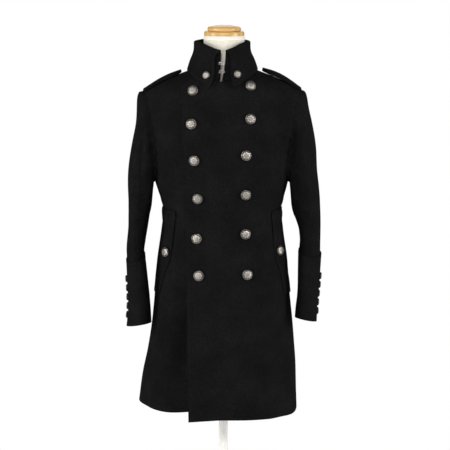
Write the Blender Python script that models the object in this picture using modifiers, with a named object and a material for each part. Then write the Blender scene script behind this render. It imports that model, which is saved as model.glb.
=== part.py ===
"""A double-breasted napoleon coat of black wool, worn on a limbless dress form.

Metres, +Z up, the coat's front towards -Y, the floor at Z = 0 and the stand's axis at X = Y = 0.
Left and right in names are the wearer's, so left is +X. Every cut piece of cloth is a wall between
an outer grid of points and an inner one, and pieces that are sewn together share those points.
"""

import math

import bpy
import numpy as np
from mathutils import Matrix, Vector
from mathutils.bvhtree import BVHTree

RIGHT, LEFT = -1, 1
SIDE_NAME = {RIGHT: "right", LEFT: "left"}
UP = np.array((0.0, 0.0, 1.0))
SPLIT_WAY = np.array((0.75, 0.56, 0.35))

# Cloth
WALL = 0.003
FLAP_WALL = 0.0025
STRAP_WALL = 0.0045
SEAM = 0.0006
REST_GAP = 0.0004
MITRE_SOFTNESS = 0.25
SHARP_ANGLE = math.radians(50)
HALVINGS = 40
REACH = 0.12
LAP_LIFT = 0.0045
CUFF_LIFT = 0.0006
CUFF_HEM_TILT = 0.010

# Heights of the coat
HEM_MEAN = 0.4740
HEM_FADE_TOP = 0.85
FOLDS_TOP = 0.95
NECK_REGION_BOTTOM = 1.203
LAP_TOP_Z = 1.40
ARMHOLE_BOTTOM = 1.103
SHOULDER_TIP_X = 0.2145
SHOULDER_TIP_Z = 1.3525
SHOULDER_SLOPE = 0.460
SHOULDER_ARCH = 0.0032
SHOULDER_ARCH_X = 0.150
SHOULDER_ARCH_REACH = 0.072
SHOULDER_ROUND = 2.6
NECK_SOFTNESS = 0.030
TIP_X = {RIGHT: 0.217, LEFT: 0.212}

# Neckline seen from above
NECK_HALF_WIDTH = 0.075
NECK_CENTRE_Y = -0.013
NECK_FRONT = 0.0690
NECK_BACK = 0.0710

# Collar
COLLAR_TOP_HALF = {RIGHT: 0.0733, LEFT: 0.0678}
COLLAR_TOP_FRONT_Y = -0.0790
COLLAR_TOP_BACK_Y = 0.0570
STAND_FOOT_X = {RIGHT: 0.0073, LEFT: -0.0041}
STAND_HEAD_X = {RIGHT: 0.0056, LEFT: 0.0070}
STAND_ROWS = 4
STAND_LEAN = 1.8
FOLD_INSIDE = 0.0015
FOLD_ANGLES = (180, 135, 90, 45, 0)
FRONT_TURN = 40

# Shoulder straps
STRAP_HALF_WIDTH = 0.022
STRAP_INNER_X = {RIGHT: 0.1130, LEFT: 0.1045}
STRAP_OUTER_X = {RIGHT: 0.2140, LEFT: 0.2090}
STRAP_RAISED = {RIGHT: 0.0045, LEFT: 0.0065}
STRAP_ARCH = {RIGHT: 0.0035, LEFT: 0.0060}
STRAP_UNDER_SHARE = 0.35
STRAP_STATIONS = 7
STRAP_ACROSS = (-1.0, -0.5, 0.03, 0.5, 1.0)
STRAP_POINT = 0.35

# Buttons
BIG_BUTTON = 0.028
SMALL_BUTTON = 0.020
BUTTON_STEPS = {BIG_BUTTON: 12, SMALL_BUTTON: 10}
LIFT_TESTS = np.array(
    ((1, 1, 1), (3, 3, 0), (3, 0, 3), (0, 3, 3), (4, 1, 1), (1, 4, 1), (1, 1, 4)), float
)
LIFT_TESTS /= LIFT_TESTS.sum(axis=1, keepdims=True)
RIM_TESTS = 20
RIM_SHARES = (0.3, 0.55, 0.8, 1.0)
CUFF_BUTTONS = 5
CUFF_BUTTON_ANGLE = math.radians(-22)
CUFF_MIDDLE = (0.2370, -0.0330)
CUFF_BUTTON_TOP = {RIGHT: 0.8326, LEFT: 0.8411}
CUFF_BUTTON_LOW = {RIGHT: 0.7298, LEFT: 0.7421}

# Dress form and stand
FORM_BOTTOM = 0.780
NECK_TOP = 1.4985
FORM_NECK_X = 0.003
FORM_NECK_Y = -0.010
FORM_NECK_HALF = (0.0555, 0.0550)
FORM_SHOULDER_INSET = 0.008
CAP_LOWER = (0.0540, 0.0140)
CAP_UPPER = (0.0447, 0.0150)
POLE_RADIUS = 0.0125
CAP_STEPS = 28
BASE_STEPS = 36
POLE_STEPS = 20


def table(columns, rows):
    """A short table as {column name: values down the rows}."""
    return dict(zip(columns.split(), np.array(rows, float).T))


# Half widths, half depths and squareness of the body's level sections.
BODY = table(
    "z right left front back square",
    (
        (0.455, 0.2400, 0.2050, 0.158, 0.150, 2.20),
        (0.530, 0.2300, 0.2005, 0.154, 0.146, 2.22),
        (0.600, 0.2180, 0.1945, 0.150, 0.142, 2.25),
        (0.700, 0.2020, 0.1905, 0.144, 0.136, 2.30),
        (0.800, 0.1900, 0.1835, 0.137, 0.130, 2.35),
        (0.870, 0.1825, 0.1785, 0.131, 0.125, 2.35),
        (0.930, 0.1745, 0.1700, 0.124, 0.117, 2.35),
        (1.000, 0.1660, 0.1595, 0.1165, 0.106, 2.35),
        (1.040, 0.1700, 0.1640, 0.1165, 0.106, 2.35),
        (1.083, 0.1815, 0.1725, 0.119, 0.110, 2.40),
        (1.103, 0.1870, 0.1780, 0.1205, 0.112, 2.40),
        (1.150, 0.1930, 0.1860, 0.1235, 0.117, 2.40),
        (1.200, 0.2030, 0.1970, 0.1255, 0.121, 2.40),
        (1.250, 0.2150, 0.2100, 0.1260, 0.122, 2.40),
        (1.300, 0.2280, 0.2230, 0.1250, 0.121, 2.40),
        (1.350, 0.2400, 0.2350, 0.1235, 0.118, 2.40),
        (1.430, 0.2550, 0.2500, 0.1210, 0.114, 2.40),
    ),
)

# The armhole seam's distance from the middle at each height.
ARMHOLE = table(
    "z right left",
    (
        (1.103, 0.1870, 0.1780),
        (1.115, 0.1857, 0.1768),
        (1.140, 0.1800, 0.1722),
        (1.172, 0.1790, 0.1735),
        (1.210, 0.1815, 0.1780),
        (1.252, 0.1870, 0.1828),
        (1.300, 0.1955, 0.1890),
        (1.333, 0.2045, 0.1985),
        (1.3525, 0.2170, 0.2120),
    ),
)

# The lapped front edge's distance from the middle at each height, on either front.
LAP_EDGE = table(
    "z reach",
    (
        (0.455, 0.0945),
        (0.720, 0.0970),
        (0.970, 0.0993),
        (1.080, 0.0995),
        (1.160, 0.1010),
        (1.255, 0.1095),
        (1.450, 0.1100),
    ),
)

# Columns of the fronts and backs, by their distance from the middle at neckline and shoulder seam.
FRONT_NECK_X = (0.0, 0.012, 0.032, 0.053, 0.067, 0.0735, 0.075)
BACK_NECK_X = (0.0, 0.028, 0.050, 0.066, 0.075)
SHOULDER_STEPS = 7
LAP_STEP = 2
LAP = len(FRONT_NECK_X) - 1 + LAP_STEP
FRONT_LAST = len(FRONT_NECK_X) - 1 + SHOULDER_STEPS
BACK_LAST = len(BACK_NECK_X) - 1 + SHOULDER_STEPS
FAN_FROM = 0.95

# Rows of the body: heights below the armhole, then shares of the rise from there to the top edge.
LOW_ROWS = (0.470, 0.560, 0.660, 0.750, 0.830, 0.900, 0.955, 1.005, 1.055)
HIGH_ROWS = (0.0, 0.05, 0.15, 0.28, 0.42, 0.56, 0.69, 0.80, 0.885, 0.945, 0.985, 1.0)
LOW = len(LOW_ROWS)
TOP = len(HIGH_ROWS) - 1
LAP_SIDE_LIFT = 0.4
LAP_TOP_LIFT = {TOP - 2: 0.6, TOP - 1: 0.2, TOP: 0.0}
OVER_CUT_ROW = 8
UNDER_CUT_ROW = 7

# Top edges of the two lapped parts, as shares of the rise, by distance from the middle.
OVER_LAP_TOP = table("x share", ((0.0, 0.995), (0.053, 0.958), (0.0925, 0.922), (0.110, 0.892)))
UNDER_LAP_TOP = table("x share", ((0.0, 0.905), (0.110, 0.870)))

# Hem heights from the wearer's right to the left.
OVER_HEM = table(
    "x z",
    (
        (-0.10, 0.4590),
        (-0.05, 0.4645),
        (0.0, 0.4685),
        (0.09, 0.4660),
        (0.15, 0.4595),
        (0.18, 0.4580),
        (0.200, 0.4635),
    ),
)
UNDER_HEM = table(
    "x z", ((-0.23, 0.4835), (-0.185, 0.4785), (-0.145, 0.4780), (-0.095, 0.4820), (0.10, 0.4840))
)
BACK_HEM = table("x z", ((-0.23, 0.4835), (0.0, 0.4700), (0.200, 0.4635)))

# Soft folds of the skirt: side, place round the section (0 middle of the front, 1 side seam,
# 2 middle of the back), half width, height, and the level below which it comes in.
SKIRT_FOLDS = (
    (LEFT, 0.75, 0.21, 0.0110, 0.80),
    (LEFT, 0.52, 0.12, -0.0035, 0.80),
    (LEFT, 1.28, 0.14, 0.0060, 0.92),
    (LEFT, 1.58, 0.13, -0.0055, 0.95),
    (LEFT, 1.84, 0.11, 0.0045, 0.90),
    (RIGHT, 0.86, 0.12, 0.0050, 0.68),
    (RIGHT, 1.22, 0.13, -0.0050, 0.86),
    (RIGHT, 1.50, 0.14, 0.0065, 0.94),
    (RIGHT, 1.80, 0.12, -0.0050, 0.92),
)

# The under front falls back beside the lapped edge: distance from the middle, on the right.
TROUGH = {
    "x": 0.116,
    "half_width": 0.034,
    "depth": 0.019,
    "top": 0.90,
    "full": 0.56,
    "ease_off": 0.75,
    "ease_width": 0.102,
}

# Sleeve stations: outer and inner point of each slanting section, half depth, middle's Y.
SLEEVE = {
    RIGHT: table(
        "outer_x outer_z inner_x inner_z depth y",
        (
            (0.2275, 1.3485, 0.1925, 1.1005, 0.0690, 0.000),
            (0.2322, 1.3330, 0.1935, 1.0820, 0.0720, 0.000),
            (0.2338, 1.3030, 0.1950, 1.0580, 0.0745, 0.001),
            (0.2368, 1.2660, 0.1970, 1.0340, 0.0765, 0.002),
            (0.2440, 1.2300, 0.2020, 1.0120, 0.0780, 0.003),
            (0.2530, 1.1870, 0.2060, 0.9900, 0.0785, 0.004),
            (0.2605, 1.1400, 0.2100, 0.9680, 0.0785, 0.004),
            (0.2617, 1.0850, 0.2130, 0.9530, 0.0775, 0.002),
            (0.2600, 1.0300, 0.2155, 0.9370, 0.0755, -0.003),
            (0.2612, 0.9750, 0.2180, 0.9240, 0.0730, -0.010),
            (0.2670, 0.9280, 0.2192, 0.9110, 0.0716, -0.0125),
            (0.2655, 0.8900, 0.2192, 0.9000, 0.0695, -0.0163),
            (0.2640, 0.8740, 0.2188, 0.8850, 0.0668, -0.0193),
        ),
    ),
    LEFT: table(
        "outer_x outer_z inner_x inner_z depth y",
        (
            (0.2215, 1.3495, 0.1840, 1.1005, 0.0690, 0.000),
            (0.2268, 1.3325, 0.1850, 1.0820, 0.0720, 0.000),
            (0.2325, 1.3030, 0.1862, 1.0580, 0.0745, 0.001),
            (0.2405, 1.2700, 0.1880, 1.0340, 0.0765, 0.002),
            (0.2485, 1.2300, 0.1935, 1.0120, 0.0780, 0.003),
            (0.2550, 1.1850, 0.1992, 0.9990, 0.0785, 0.004),
            (0.2580, 1.1380, 0.2045, 0.9850, 0.0785, 0.004),
            (0.2640, 1.0850, 0.2093, 0.9700, 0.0775, 0.002),
            (0.2670, 1.0300, 0.2114, 0.9540, 0.0755, -0.003),
            (0.2684, 0.9850, 0.2126, 0.9400, 0.0735, -0.0085),
            (0.2690, 0.9420, 0.2116, 0.9260, 0.0728, -0.0102),
            (0.2690, 0.9050, 0.2117, 0.9120, 0.0708, -0.0140),
            (0.2672, 0.8890, 0.2118, 0.8960, 0.0683, -0.0176),
        ),
    ),
}
EVEN_FROM = 5
FRONT_SEAM = 3
BACK_SEAM = 5

# Sleeve folds: angle round the sleeve from its outer side towards the front, station, size.
SLEEVE_FOLDS = {
    RIGHT: table(
        "angle half_angle station half_length height",
        (
            (56, 26, 4, 4.5, 0.0045),
            (112, 28, 4, 4.0, -0.0060),
            (-70, 28, 5, 4.5, -0.0050),
            (75, 24, 8, 1.8, 0.0035),
            (60, 24, 10, 1.6, -0.0030),
        ),
    ),
    LEFT: table(
        "angle half_angle station half_length height",
        (
            (74, 26, 4, 4.5, 0.0045),
            (118, 26, 4, 4.0, -0.0065),
            (-64, 28, 5, 4.5, -0.0050),
            (60, 24, 7, 1.8, -0.0035),
            (70, 24, 9, 1.6, 0.0030),
        ),
    ),
}

# The cuffs below the sleeve ends, in the sleeve table's columns.
CUFF = {
    RIGHT: table(
        "outer_x outer_z inner_x inner_z depth y",
        (
            (0.2640, 0.8050, 0.2060, 0.8080, 0.0610, -0.030),
            (0.2628, 0.7550, 0.2015, 0.7620, 0.0575, -0.034),
            (0.2680, 0.7025, 0.1995, 0.7120, 0.0540, -0.038),
        ),
    ),
    LEFT: table(
        "outer_x outer_z inner_x inner_z depth y",
        (
            (0.2640, 0.8050, 0.2060, 0.8080, 0.0610, -0.030),
            (0.2602, 0.7600, 0.2015, 0.7650, 0.0575, -0.034),
            (0.2588, 0.7160, 0.1988, 0.7270, 0.0540, -0.038),
        ),
    ),
}

# The stand's top edge, by degrees round from the front.
STAND_TOP = table(
    "turn z",
    ((0, 1.4622), (12, 1.4645), (28, 1.4718), (47, 1.4795), (70, 1.4822), (95, 1.4820), (180, 1.4870)),
)

# How the collar fall leaves the fold: share of its drop, and of its spread at sides and fronts.
FALL = table(
    "drop side front",
    (
        (0.10, 0.00, 0.45),
        (0.25, 0.04, 0.54),
        (0.42, 0.21, 0.58),
        (0.62, 0.54, 0.60),
        (0.82, 0.80, 0.75),
        (1.00, 1.00, 1.00),
    ),
)

# Lower edge of the fall from its front point round to the middle of the back.
FALL_EDGE = {
    RIGHT: table(
        "turn x y z",
        (
            (0, 0.0363, -0.1010, 1.3700),
            (9, 0.0440, -0.0965, 1.3750),
            (25, 0.0560, -0.0885, 1.3820),
            (45, 0.0740, -0.0760, 1.3915),
            (63, 0.0880, -0.0590, 1.4005),
            (78, 0.0955, -0.0300, 1.4074),
            (100, 0.0976, 0.0050, 1.4098),
            (125, 0.0890, 0.0420, 1.4070),
            (150, 0.0600, 0.0720, 1.4040),
            (180, 0.0, 0.0800, 1.4050),
        ),
    ),
    LEFT: table(
        "turn x y z",
        (
            (0, 0.0322, -0.1010, 1.3700),
            (9, 0.0395, -0.0965, 1.3760),
            (25, 0.0530, -0.0885, 1.3845),
            (45, 0.0700, -0.0765, 1.3945),
            (63, 0.0845, -0.0575, 1.4035),
            (78, 0.0915, -0.0300, 1.4095),
            (100, 0.0938, 0.0050, 1.4122),
            (125, 0.0860, 0.0420, 1.4090),
            (150, 0.0580, 0.0720, 1.4040),
            (180, 0.0, 0.0800, 1.4050),
        ),
    ),
}

# Front edges of the pocket flaps, as shares of the half width, and where their grids lie.
FLAP = table(
    "z right left",
    (
        (0.800, 0.915, 0.905),
        (0.830, 0.895, 0.885),
        (0.865, 0.860, 0.858),
        (0.900, 0.805, 0.812),
        (0.940, 0.790, 0.805),
        (0.985, 0.785, 0.826),
        (1.018, 0.765, 0.805),
        (1.036, 0.755, 0.800),
    ),
)
FLAP_BACK = 0.995
FLAP_COLUMNS = 7
FLAP_WAY = (0.75, 0.66)

# Front buttons, top to bottom: height and distance from the middle on each side.
BUTTON_ROWS = table(
    "z_right right z_left left",
    (
        (1.360, 0.0791, 1.372, 0.0721),
        (1.276, 0.0835, 1.289, 0.0717),
        (1.180, 0.0762, 1.194, 0.0606),
        (1.077, 0.0679, 1.088, 0.0599),
        (0.968, 0.0701, 0.980, 0.0596),
        (0.868, 0.0651, 0.871, 0.0649),
    ),
)
FLAP_BUTTON = {RIGHT: (0.1540, 0.921), LEFT: (0.1515, 0.925)}
COLLAR_BUTTON = {RIGHT: (0.0441, 1.4018), LEFT: (0.0373, 1.4046)}
HOOKS = {"hook_upper": 1.4330, "hook_lower": 1.4105}
HOOK_WIRE = 0.0007
HOOK_TESTS = (-0.0110, -0.0080, -0.0060, 0.0010, 0.0040)
HOOK_SHAPE = ((-0.0110, 0.0020), (0.0025, 0.0020), (0.0040, 0.0), (0.0025, -0.0020), (-0.0110, -0.0020))

# The form below the cloth: rows of the body it follows, and how far inside the cloth it lies.
FORM_ROWS = table(
    "row inside",
    (
        (3, 0.0260),
        (4, 0.0200),
        (5, 0.0150),
        (7, 0.0100),
        (9, 0.0070),
        (12, 0.0040),
        (14, 0.0028),
        (16, 0.0020),
        (17, 0.0017),
        (18, 0.0015),
        (19, 0.0014),
        (20, 0.0013),
    ),
)
FORM_NECK = table(
    "blend rise size",
    ((0.55, 0.12, 1.0), (1.0, 0.42, 1.0), (1.0, 0.96, 1.0), (1.0, 1.0, 0.95)),
)

# Turned profiles, radius and height, from the middle of the foot to the middle of the head.
BUTTON_PROFILE = ((0.0, 0.0), (0.90, 0.0), (1.0, 0.18), (0.72, 0.42), (0.0, 0.56))
CAP_PROFILE = ((0.0, 0.0), (0.94, 0.0), (1.0, 0.12), (1.0, 0.70), (0.92, 0.92), (0.0, 1.0))
POLE_PROFILE = ((0.0, 0.0), (1.0, 0.0), (1.0, 1.0), (0.0, 1.0))
BASE_PROFILE = (
    (0.0, 0.0),
    (0.186, 0.0),
    (0.190, 0.003),
    (0.190, 0.010),
    (0.184, 0.014),
    (0.060, 0.021),
    (0.028, 0.030),
    (0.026, 0.034),
    (0.0, 0.034),
)


def read(source, column, at, key="z"):
    """Smooth reading of a table's column, without overshoot between its rows."""
    xs = source[key]
    ys = source[column]
    at = float(np.clip(at, xs[0], xs[-1]))
    i = int(np.clip(np.searchsorted(xs, at) - 1, 0, len(xs) - 2))
    steps = np.diff(xs)
    slopes = np.diff(ys) / steps
    ends = np.zeros(len(xs))
    ends[0] = slopes[0]
    ends[-1] = slopes[-1]
    for k in range(1, len(xs) - 1):
        if slopes[k - 1] * slopes[k] > 0:
            ends[k] = 2.0 / (1.0 / slopes[k - 1] + 1.0 / slopes[k])
    t = (at - xs[i]) / steps[i]
    return (
        ys[i] * (1 + 2 * t) * (1 - t) ** 2
        + steps[i] * ends[i] * t * (1 - t) ** 2
        + ys[i + 1] * t * t * (3 - 2 * t)
        - steps[i] * ends[i + 1] * t * t * (1 - t)
    )


def ease(t):
    """0 to 1 with soft ends."""
    t = min(max(t, 0.0), 1.0)
    return t * t * (3 - 2 * t)


def bump(distance, half_width):
    """1 at the middle of a fold and 0 at its edges."""
    return ease(1 - min(abs(distance) / half_width, 1.0))


def unit(v):
    return v / np.maximum(np.linalg.norm(v, axis=-1, keepdims=True), 1e-12)


def shoulder_height(x):
    """Height of the shoulder seam at a distance x from the middle."""
    run = math.hypot(SHOULDER_TIP_X, NECK_SOFTNESS) - math.hypot(x, NECK_SOFTNESS)
    arch = SHOULDER_ARCH * bump(x - SHOULDER_ARCH_X, SHOULDER_ARCH_REACH)
    return SHOULDER_TIP_Z + SHOULDER_SLOPE * run + arch


def body_point(side, face, x, z):
    """The cloth's outer face at a distance x from the middle: face -1 is the front, 1 the back."""
    half_width = read(BODY, SIDE_NAME[side], z)
    square = read(BODY, "square", z)
    reach = min(x / half_width, 1.0)
    depth = read(BODY, "front" if face < 0 else "back", z) * (1 - reach**square) ** (1 / square)
    if z > ARMHOLE_BOTTOM:
        rise = (z - ARMHOLE_BOTTOM) / (shoulder_height(x) - ARMHOLE_BOTTOM)
        depth *= max(1 - min(rise, 1.0) ** SHOULDER_ROUND, 0.0) ** (1 / SHOULDER_ROUND)
    point = np.array((side * x, face * depth, z))
    if z < FOLDS_TOP:
        middle = np.array((0.0, 0.0, z))
        point += unit(point - middle) * skirt_fold(side, turn_of(side, x, z, face), z)
    return point


def turn_of(side, x, z, face=-1):
    """Place round the quarter section: 0 in the middle, 1 at the side seam, 2 in the middle of the back."""
    half_width = read(BODY, SIDE_NAME[side], z)
    square = read(BODY, "square", z)
    turn = math.asin(min(x / half_width, 1.0) ** (square / 2)) / (math.pi / 2)
    return turn if face < 0 else 2 - turn


def x_of(side, turn, z):
    half_width = read(BODY, SIDE_NAME[side], z)
    square = read(BODY, "square", z)
    return half_width * math.sin(turn * math.pi / 2) ** (2 / square)


def skirt_fold(side, turn, z):
    total = 0.0
    for fold_side, place, half_width, height, top in SKIRT_FOLDS:
        if fold_side == side:
            total += height * bump(turn - place, half_width) * ease((top - z) / (top - HEM_MEAN))
    return total


def height_on_body(side, face, x, y):
    """The height at which the body's outer face passes through (x, y), near the shoulders."""
    low = NECK_REGION_BOTTOM
    high = shoulder_height(x)
    for _ in range(HALVINGS):
        z = (low + high) / 2
        if abs(body_point(side, face, x, z)[1]) > abs(y):
            low = z
        else:
            high = z
    return (low + high) / 2


def neck_ring_y(face, x):
    """Y of the neckline, seen from above, at a distance x from the middle."""
    depth = NECK_FRONT if face < 0 else NECK_BACK
    return NECK_CENTRE_Y + face * depth * math.sqrt(max(1 - (x / NECK_HALF_WIDTH) ** 2, 0.0))


def top_columns(side, face):
    """(x, height) of the top edge at each column, from the middle to the shoulder tip."""
    found = []
    for x in (FRONT_NECK_X if face < 0 else BACK_NECK_X)[:-1]:
        found.append((x, height_on_body(side, face, x, neck_ring_y(face, x))))
    lap_x = read(LAP_EDGE, "reach", LAP_TOP_Z)
    for step in range(SHOULDER_STEPS + 1):
        if step <= LAP_STEP:
            x = NECK_HALF_WIDTH + (lap_x - NECK_HALF_WIDTH) * step / LAP_STEP
        else:
            x = lap_x + (TIP_X[side] - lap_x) * (step - LAP_STEP) / (SHOULDER_STEPS - LAP_STEP)
        found.append((x, shoulder_height(x)))
    return found


def row_heights(top, hem):
    """Heights of a column's points from the hem to its top edge."""
    heights = []
    for z in LOW_ROWS:
        fade = ease((HEM_FADE_TOP - z) / (HEM_FADE_TOP - LOW_ROWS[0]))
        heights.append(z + (hem - LOW_ROWS[0]) * fade)
    for share in HIGH_ROWS:
        heights.append(ARMHOLE_BOTTOM + (top - ARMHOLE_BOTTOM) * share)
    return heights


def column_x(side, face, column, tops, z):
    """Distance of a column from the middle at a height."""
    last = len(tops) - 1
    lap_x = read(LAP_EDGE, "reach", z)
    if face < 0 and column <= LAP:
        return tops[column][0] * lap_x / tops[LAP][0]
    first = LAP if face < 0 else 0
    start_x = lap_x if face < 0 else 0.0
    end_x = read(ARMHOLE, SIDE_NAME[side], z) if z > ARMHOLE_BOTTOM else x_of(side, 1.0, z)
    if column == last:
        return end_x
    start_turn = turn_of(side, start_x, z)
    end_turn = turn_of(side, end_x, z)
    share = (column - first) / (last - first)
    low_x = x_of(side, start_turn + (end_turn - start_turn) * share, z)
    top_share = (tops[column][0] - tops[first][0]) / (tops[last][0] - tops[first][0])
    top_x = start_x + (end_x - start_x) * top_share
    rise = ease((z - FAN_FROM) / (tops[column][1] - FAN_FROM))
    return low_x + (top_x - low_x) * rise


def quarter(side, face, hem):
    """A quarter of the body's outer face: columns from the middle outwards, rows from the hem up."""
    tops = top_columns(side, face)
    columns = []
    for column, (top_x, top) in enumerate(tops):
        hem_x = side * column_x(side, face, column, tops, LOW_ROWS[0])
        heights = row_heights(top, read(hem, "z", hem_x, key="x"))
        points = [
            body_point(side, face, column_x(side, face, column, tops, z), z) for z in heights[:-1]
        ]
        points.append(body_point(side, face, top_x, top))
        columns.append(points)
    return np.array(columns)


def front_outer(own):
    """A front's outer face, anticlockwise seen from above, with its lapped part cut to its top edge."""
    hem, edge, cut_row = (
        (OVER_HEM, OVER_LAP_TOP, OVER_CUT_ROW)
        if own == LEFT
        else (UNDER_HEM, UNDER_LAP_TOP, UNDER_CUT_ROW)
    )
    near = quarter(own, -1, hem)
    lapped = quarter(-own, -1, hem)[: LAP + 1]
    tops = top_columns(-own, -1)
    start = HIGH_ROWS[cut_row]
    for column in range(LAP + 1):
        top_x, top = tops[column]
        cut = read(edge, "share", top_x, key="x")
        for high in range(cut_row + 1, TOP + 1):
            share = start + (cut - start) * (HIGH_ROWS[high] - start) / (1 - start)
            z = ARMHOLE_BOTTOM + (top - ARMHOLE_BOTTOM) * share
            x = column_x(-own, -1, column, tops, z)
            lapped[column, LOW + high] = body_point(-own, -1, x, z)
    near[0] = lapped[0]
    if own == LEFT:
        return np.concatenate((lapped[::-1], near[1:]))
    return np.concatenate((near[::-1], lapped[1:]))


def grid_normals(points, wrap=False):
    """Unit normals of a grid, outwards where its columns run anticlockwise and its rows go up."""
    if wrap:
        across = np.roll(points, -1, 0) - np.roll(points, 1, 0)
    else:
        across = np.gradient(points, axis=0)
    return unit(np.cross(unit(across), unit(np.gradient(points, axis=1))))


def lift_over(points):
    """The over front stands off the under front where the two lap."""
    normals = grid_normals(points)
    for j in range(len(points)):
        column = j - LAP
        across = 1.0 if column <= LAP else LAP_SIDE_LIFT if column == LAP + 1 else 0.0
        for i in range(points.shape[1]):
            up = LAP_TOP_LIFT.get(i - LOW, 1.0) if column > 0 else 1.0
            points[j, i] += normals[j, i] * LAP_LIFT * across * up
    return points


def set_back_under(points):
    """The under front falls back beside the lapped edge, down the skirt."""
    normals = grid_normals(points)
    for j in range(len(points)):
        for i in range(points.shape[1]):
            down = ease((TROUGH["top"] - points[j, i, 2]) / (TROUGH["top"] - TROUGH["full"]))
            beside = points[j, i, 0] + TROUGH["x"]
            if beside < 0:
                across = bump(beside, TROUGH["half_width"])
            else:
                across = 1 - TROUGH["ease_off"] * ease(beside / TROUGH["ease_width"])
            points[j, i] -= normals[j, i] * TROUGH["depth"] * down * across
    return points


def armhole_ring(front, back):
    """Points of the armhole, from its lowest up the front to the shoulder and down the back."""
    return np.concatenate((front[LOW:], back[LOW + 1 : -1][::-1]))


def sleeve_section(row, angles):
    """Middle and points of a slanting section, at angles from its outer side towards the front."""
    outer = np.array((row["outer_x"], 0.0, row["outer_z"]))
    inner = np.array((row["inner_x"], 0.0, row["inner_z"]))
    middle = (outer + inner) / 2 + np.array((0.0, row["y"], 0.0))
    reach = (outer - inner) / 2
    depth = np.array((0.0, -row["depth"], 0.0))
    return middle, middle + np.outer(np.cos(angles), reach) + np.outer(np.sin(angles), depth)


def table_row(source, i):
    return {column: values[i] for column, values in source.items()}


def even_angles(count):
    return np.linspace(math.pi, -math.pi, count + 1)[:-1]


def sleeve_outer(side, ring):
    """A sleeve's outer face: columns round the armhole ring, rows down to the sleeve's end."""
    mirror = (side, 1, 1)
    local = ring * mirror
    stations = SLEEVE[side]
    armhole = {
        "outer_x": local[TOP][0],
        "outer_z": local[TOP][2],
        "inner_x": local[0][0],
        "inner_z": local[0][2],
        "depth": stations["depth"][0],
        "y": 0.0,
    }
    middle = (local[TOP] + local[0]) / 2
    reach = (local[TOP] - local[0]) / 2
    along = (local - middle) @ reach / (reach @ reach)
    starts = np.unwrap(np.arctan2(-local[:, 1] / armhole["depth"], along))
    starts -= 2 * math.pi * round(starts[TOP] / (2 * math.pi))
    evens = even_angles(len(ring))
    leftover = local - sleeve_section(armhole, starts)[1]
    folds = SLEEVE_FOLDS[side]
    rows = [local]
    for station in range(len(stations["y"])):
        weight = ease((station + 1) / EVEN_FROM)
        angles = starts + (evens - starts) * weight
        centre, points = sleeve_section(table_row(stations, station), angles)
        outwards = unit(points - centre)
        for f in range(len(folds["angle"])):
            along_fold = bump(station - folds["station"][f], folds["half_length"][f])
            for k, angle in enumerate(np.degrees(angles)):
                across = bump(angle - folds["angle"][f], folds["half_angle"][f])
                points[k] += outwards[k] * folds["height"][f] * across * along_fold
        rows.append(points + leftover * (1 - weight))
    return np.array(rows).transpose(1, 0, 2) * mirror


def tube_normals(points):
    """Unit normals of a wrapped grid, away from its middle."""
    normals = grid_normals(points, wrap=True)
    away = points - points.mean(axis=0)[None]
    return normals if np.sum(normals * away) > 0 else -normals


def cuff_outer(side, sleeve):
    """A cuff's outer face: clear round the sleeve's last two rows, then down to a hem high in front."""
    mirror = (side, 1, 1)
    normals = tube_normals(sleeve)
    over = sleeve[:, -2:] + normals[:, -2:] * (CUFF_LIFT + WALL)
    evens = even_angles(len(sleeve))
    below = [
        sleeve_section(table_row(CUFF[side], i), evens)[1] * mirror
        for i in range(len(CUFF[side]["y"]))
    ]
    below[-1][:, 2] += CUFF_HEM_TILT * np.sin(evens)
    return np.concatenate((over, np.array(below).transpose(1, 0, 2)), axis=1)


def collar_turn(point):
    """Degrees round the neckline from the front."""
    depth = NECK_FRONT if point[1] < NECK_CENTRE_Y else NECK_BACK
    along = (NECK_CENTRE_Y - point[1]) / depth
    return math.degrees(math.atan2(abs(point[0]) / NECK_HALF_WIDTH, along))


def stand_head(side, turn):
    """The stand's top edge and the level way outwards there."""
    half_depth = (COLLAR_TOP_BACK_Y - COLLAR_TOP_FRONT_Y) / 2
    middle_y = (COLLAR_TOP_BACK_Y + COLLAR_TOP_FRONT_Y) / 2
    half_width = COLLAR_TOP_HALF[side]
    angle = math.radians(turn)
    x = side * half_width * math.sin(angle)
    y = middle_y - half_depth * math.cos(angle)
    out = unit(np.array((x / half_width**2, (y - middle_y) / half_depth**2, 0.0)))
    return np.array((x, y, read(STAND_TOP, "z", turn, key="turn"))), out


def collar_columns(neckline):
    """Foot, head, outward way, side and turn of every collar column, anticlockwise from the front."""
    columns = []
    for side in (LEFT, RIGHT):
        foot_x = STAND_FOOT_X[side]
        foot_y = neck_ring_y(-1, foot_x)
        foot = np.array((side * foot_x, foot_y, height_on_body(side, -1, abs(foot_x), foot_y)))
        head, out = stand_head(side, 0.0)
        head[0] = side * STAND_HEAD_X[side]
        columns.append((foot, head, out, side, 0.0))
    middle = []
    for foot in neckline:
        side = RIGHT if foot[0] < 0 else LEFT
        turn = collar_turn(foot)
        head, out = stand_head(side, turn)
        middle.append((foot, head, out, side, turn))
    return [columns[0], *middle, columns[1]]


def stand_outer(columns):
    ups = np.linspace(0.0, 1.0, STAND_ROWS)
    leans = 1 - (1 - ups) ** STAND_LEAN
    shares = np.stack((leans, leans, ups), axis=1)
    return np.array([[foot + (head - foot) * s for s in shares] for foot, head, *_ in columns])


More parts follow.
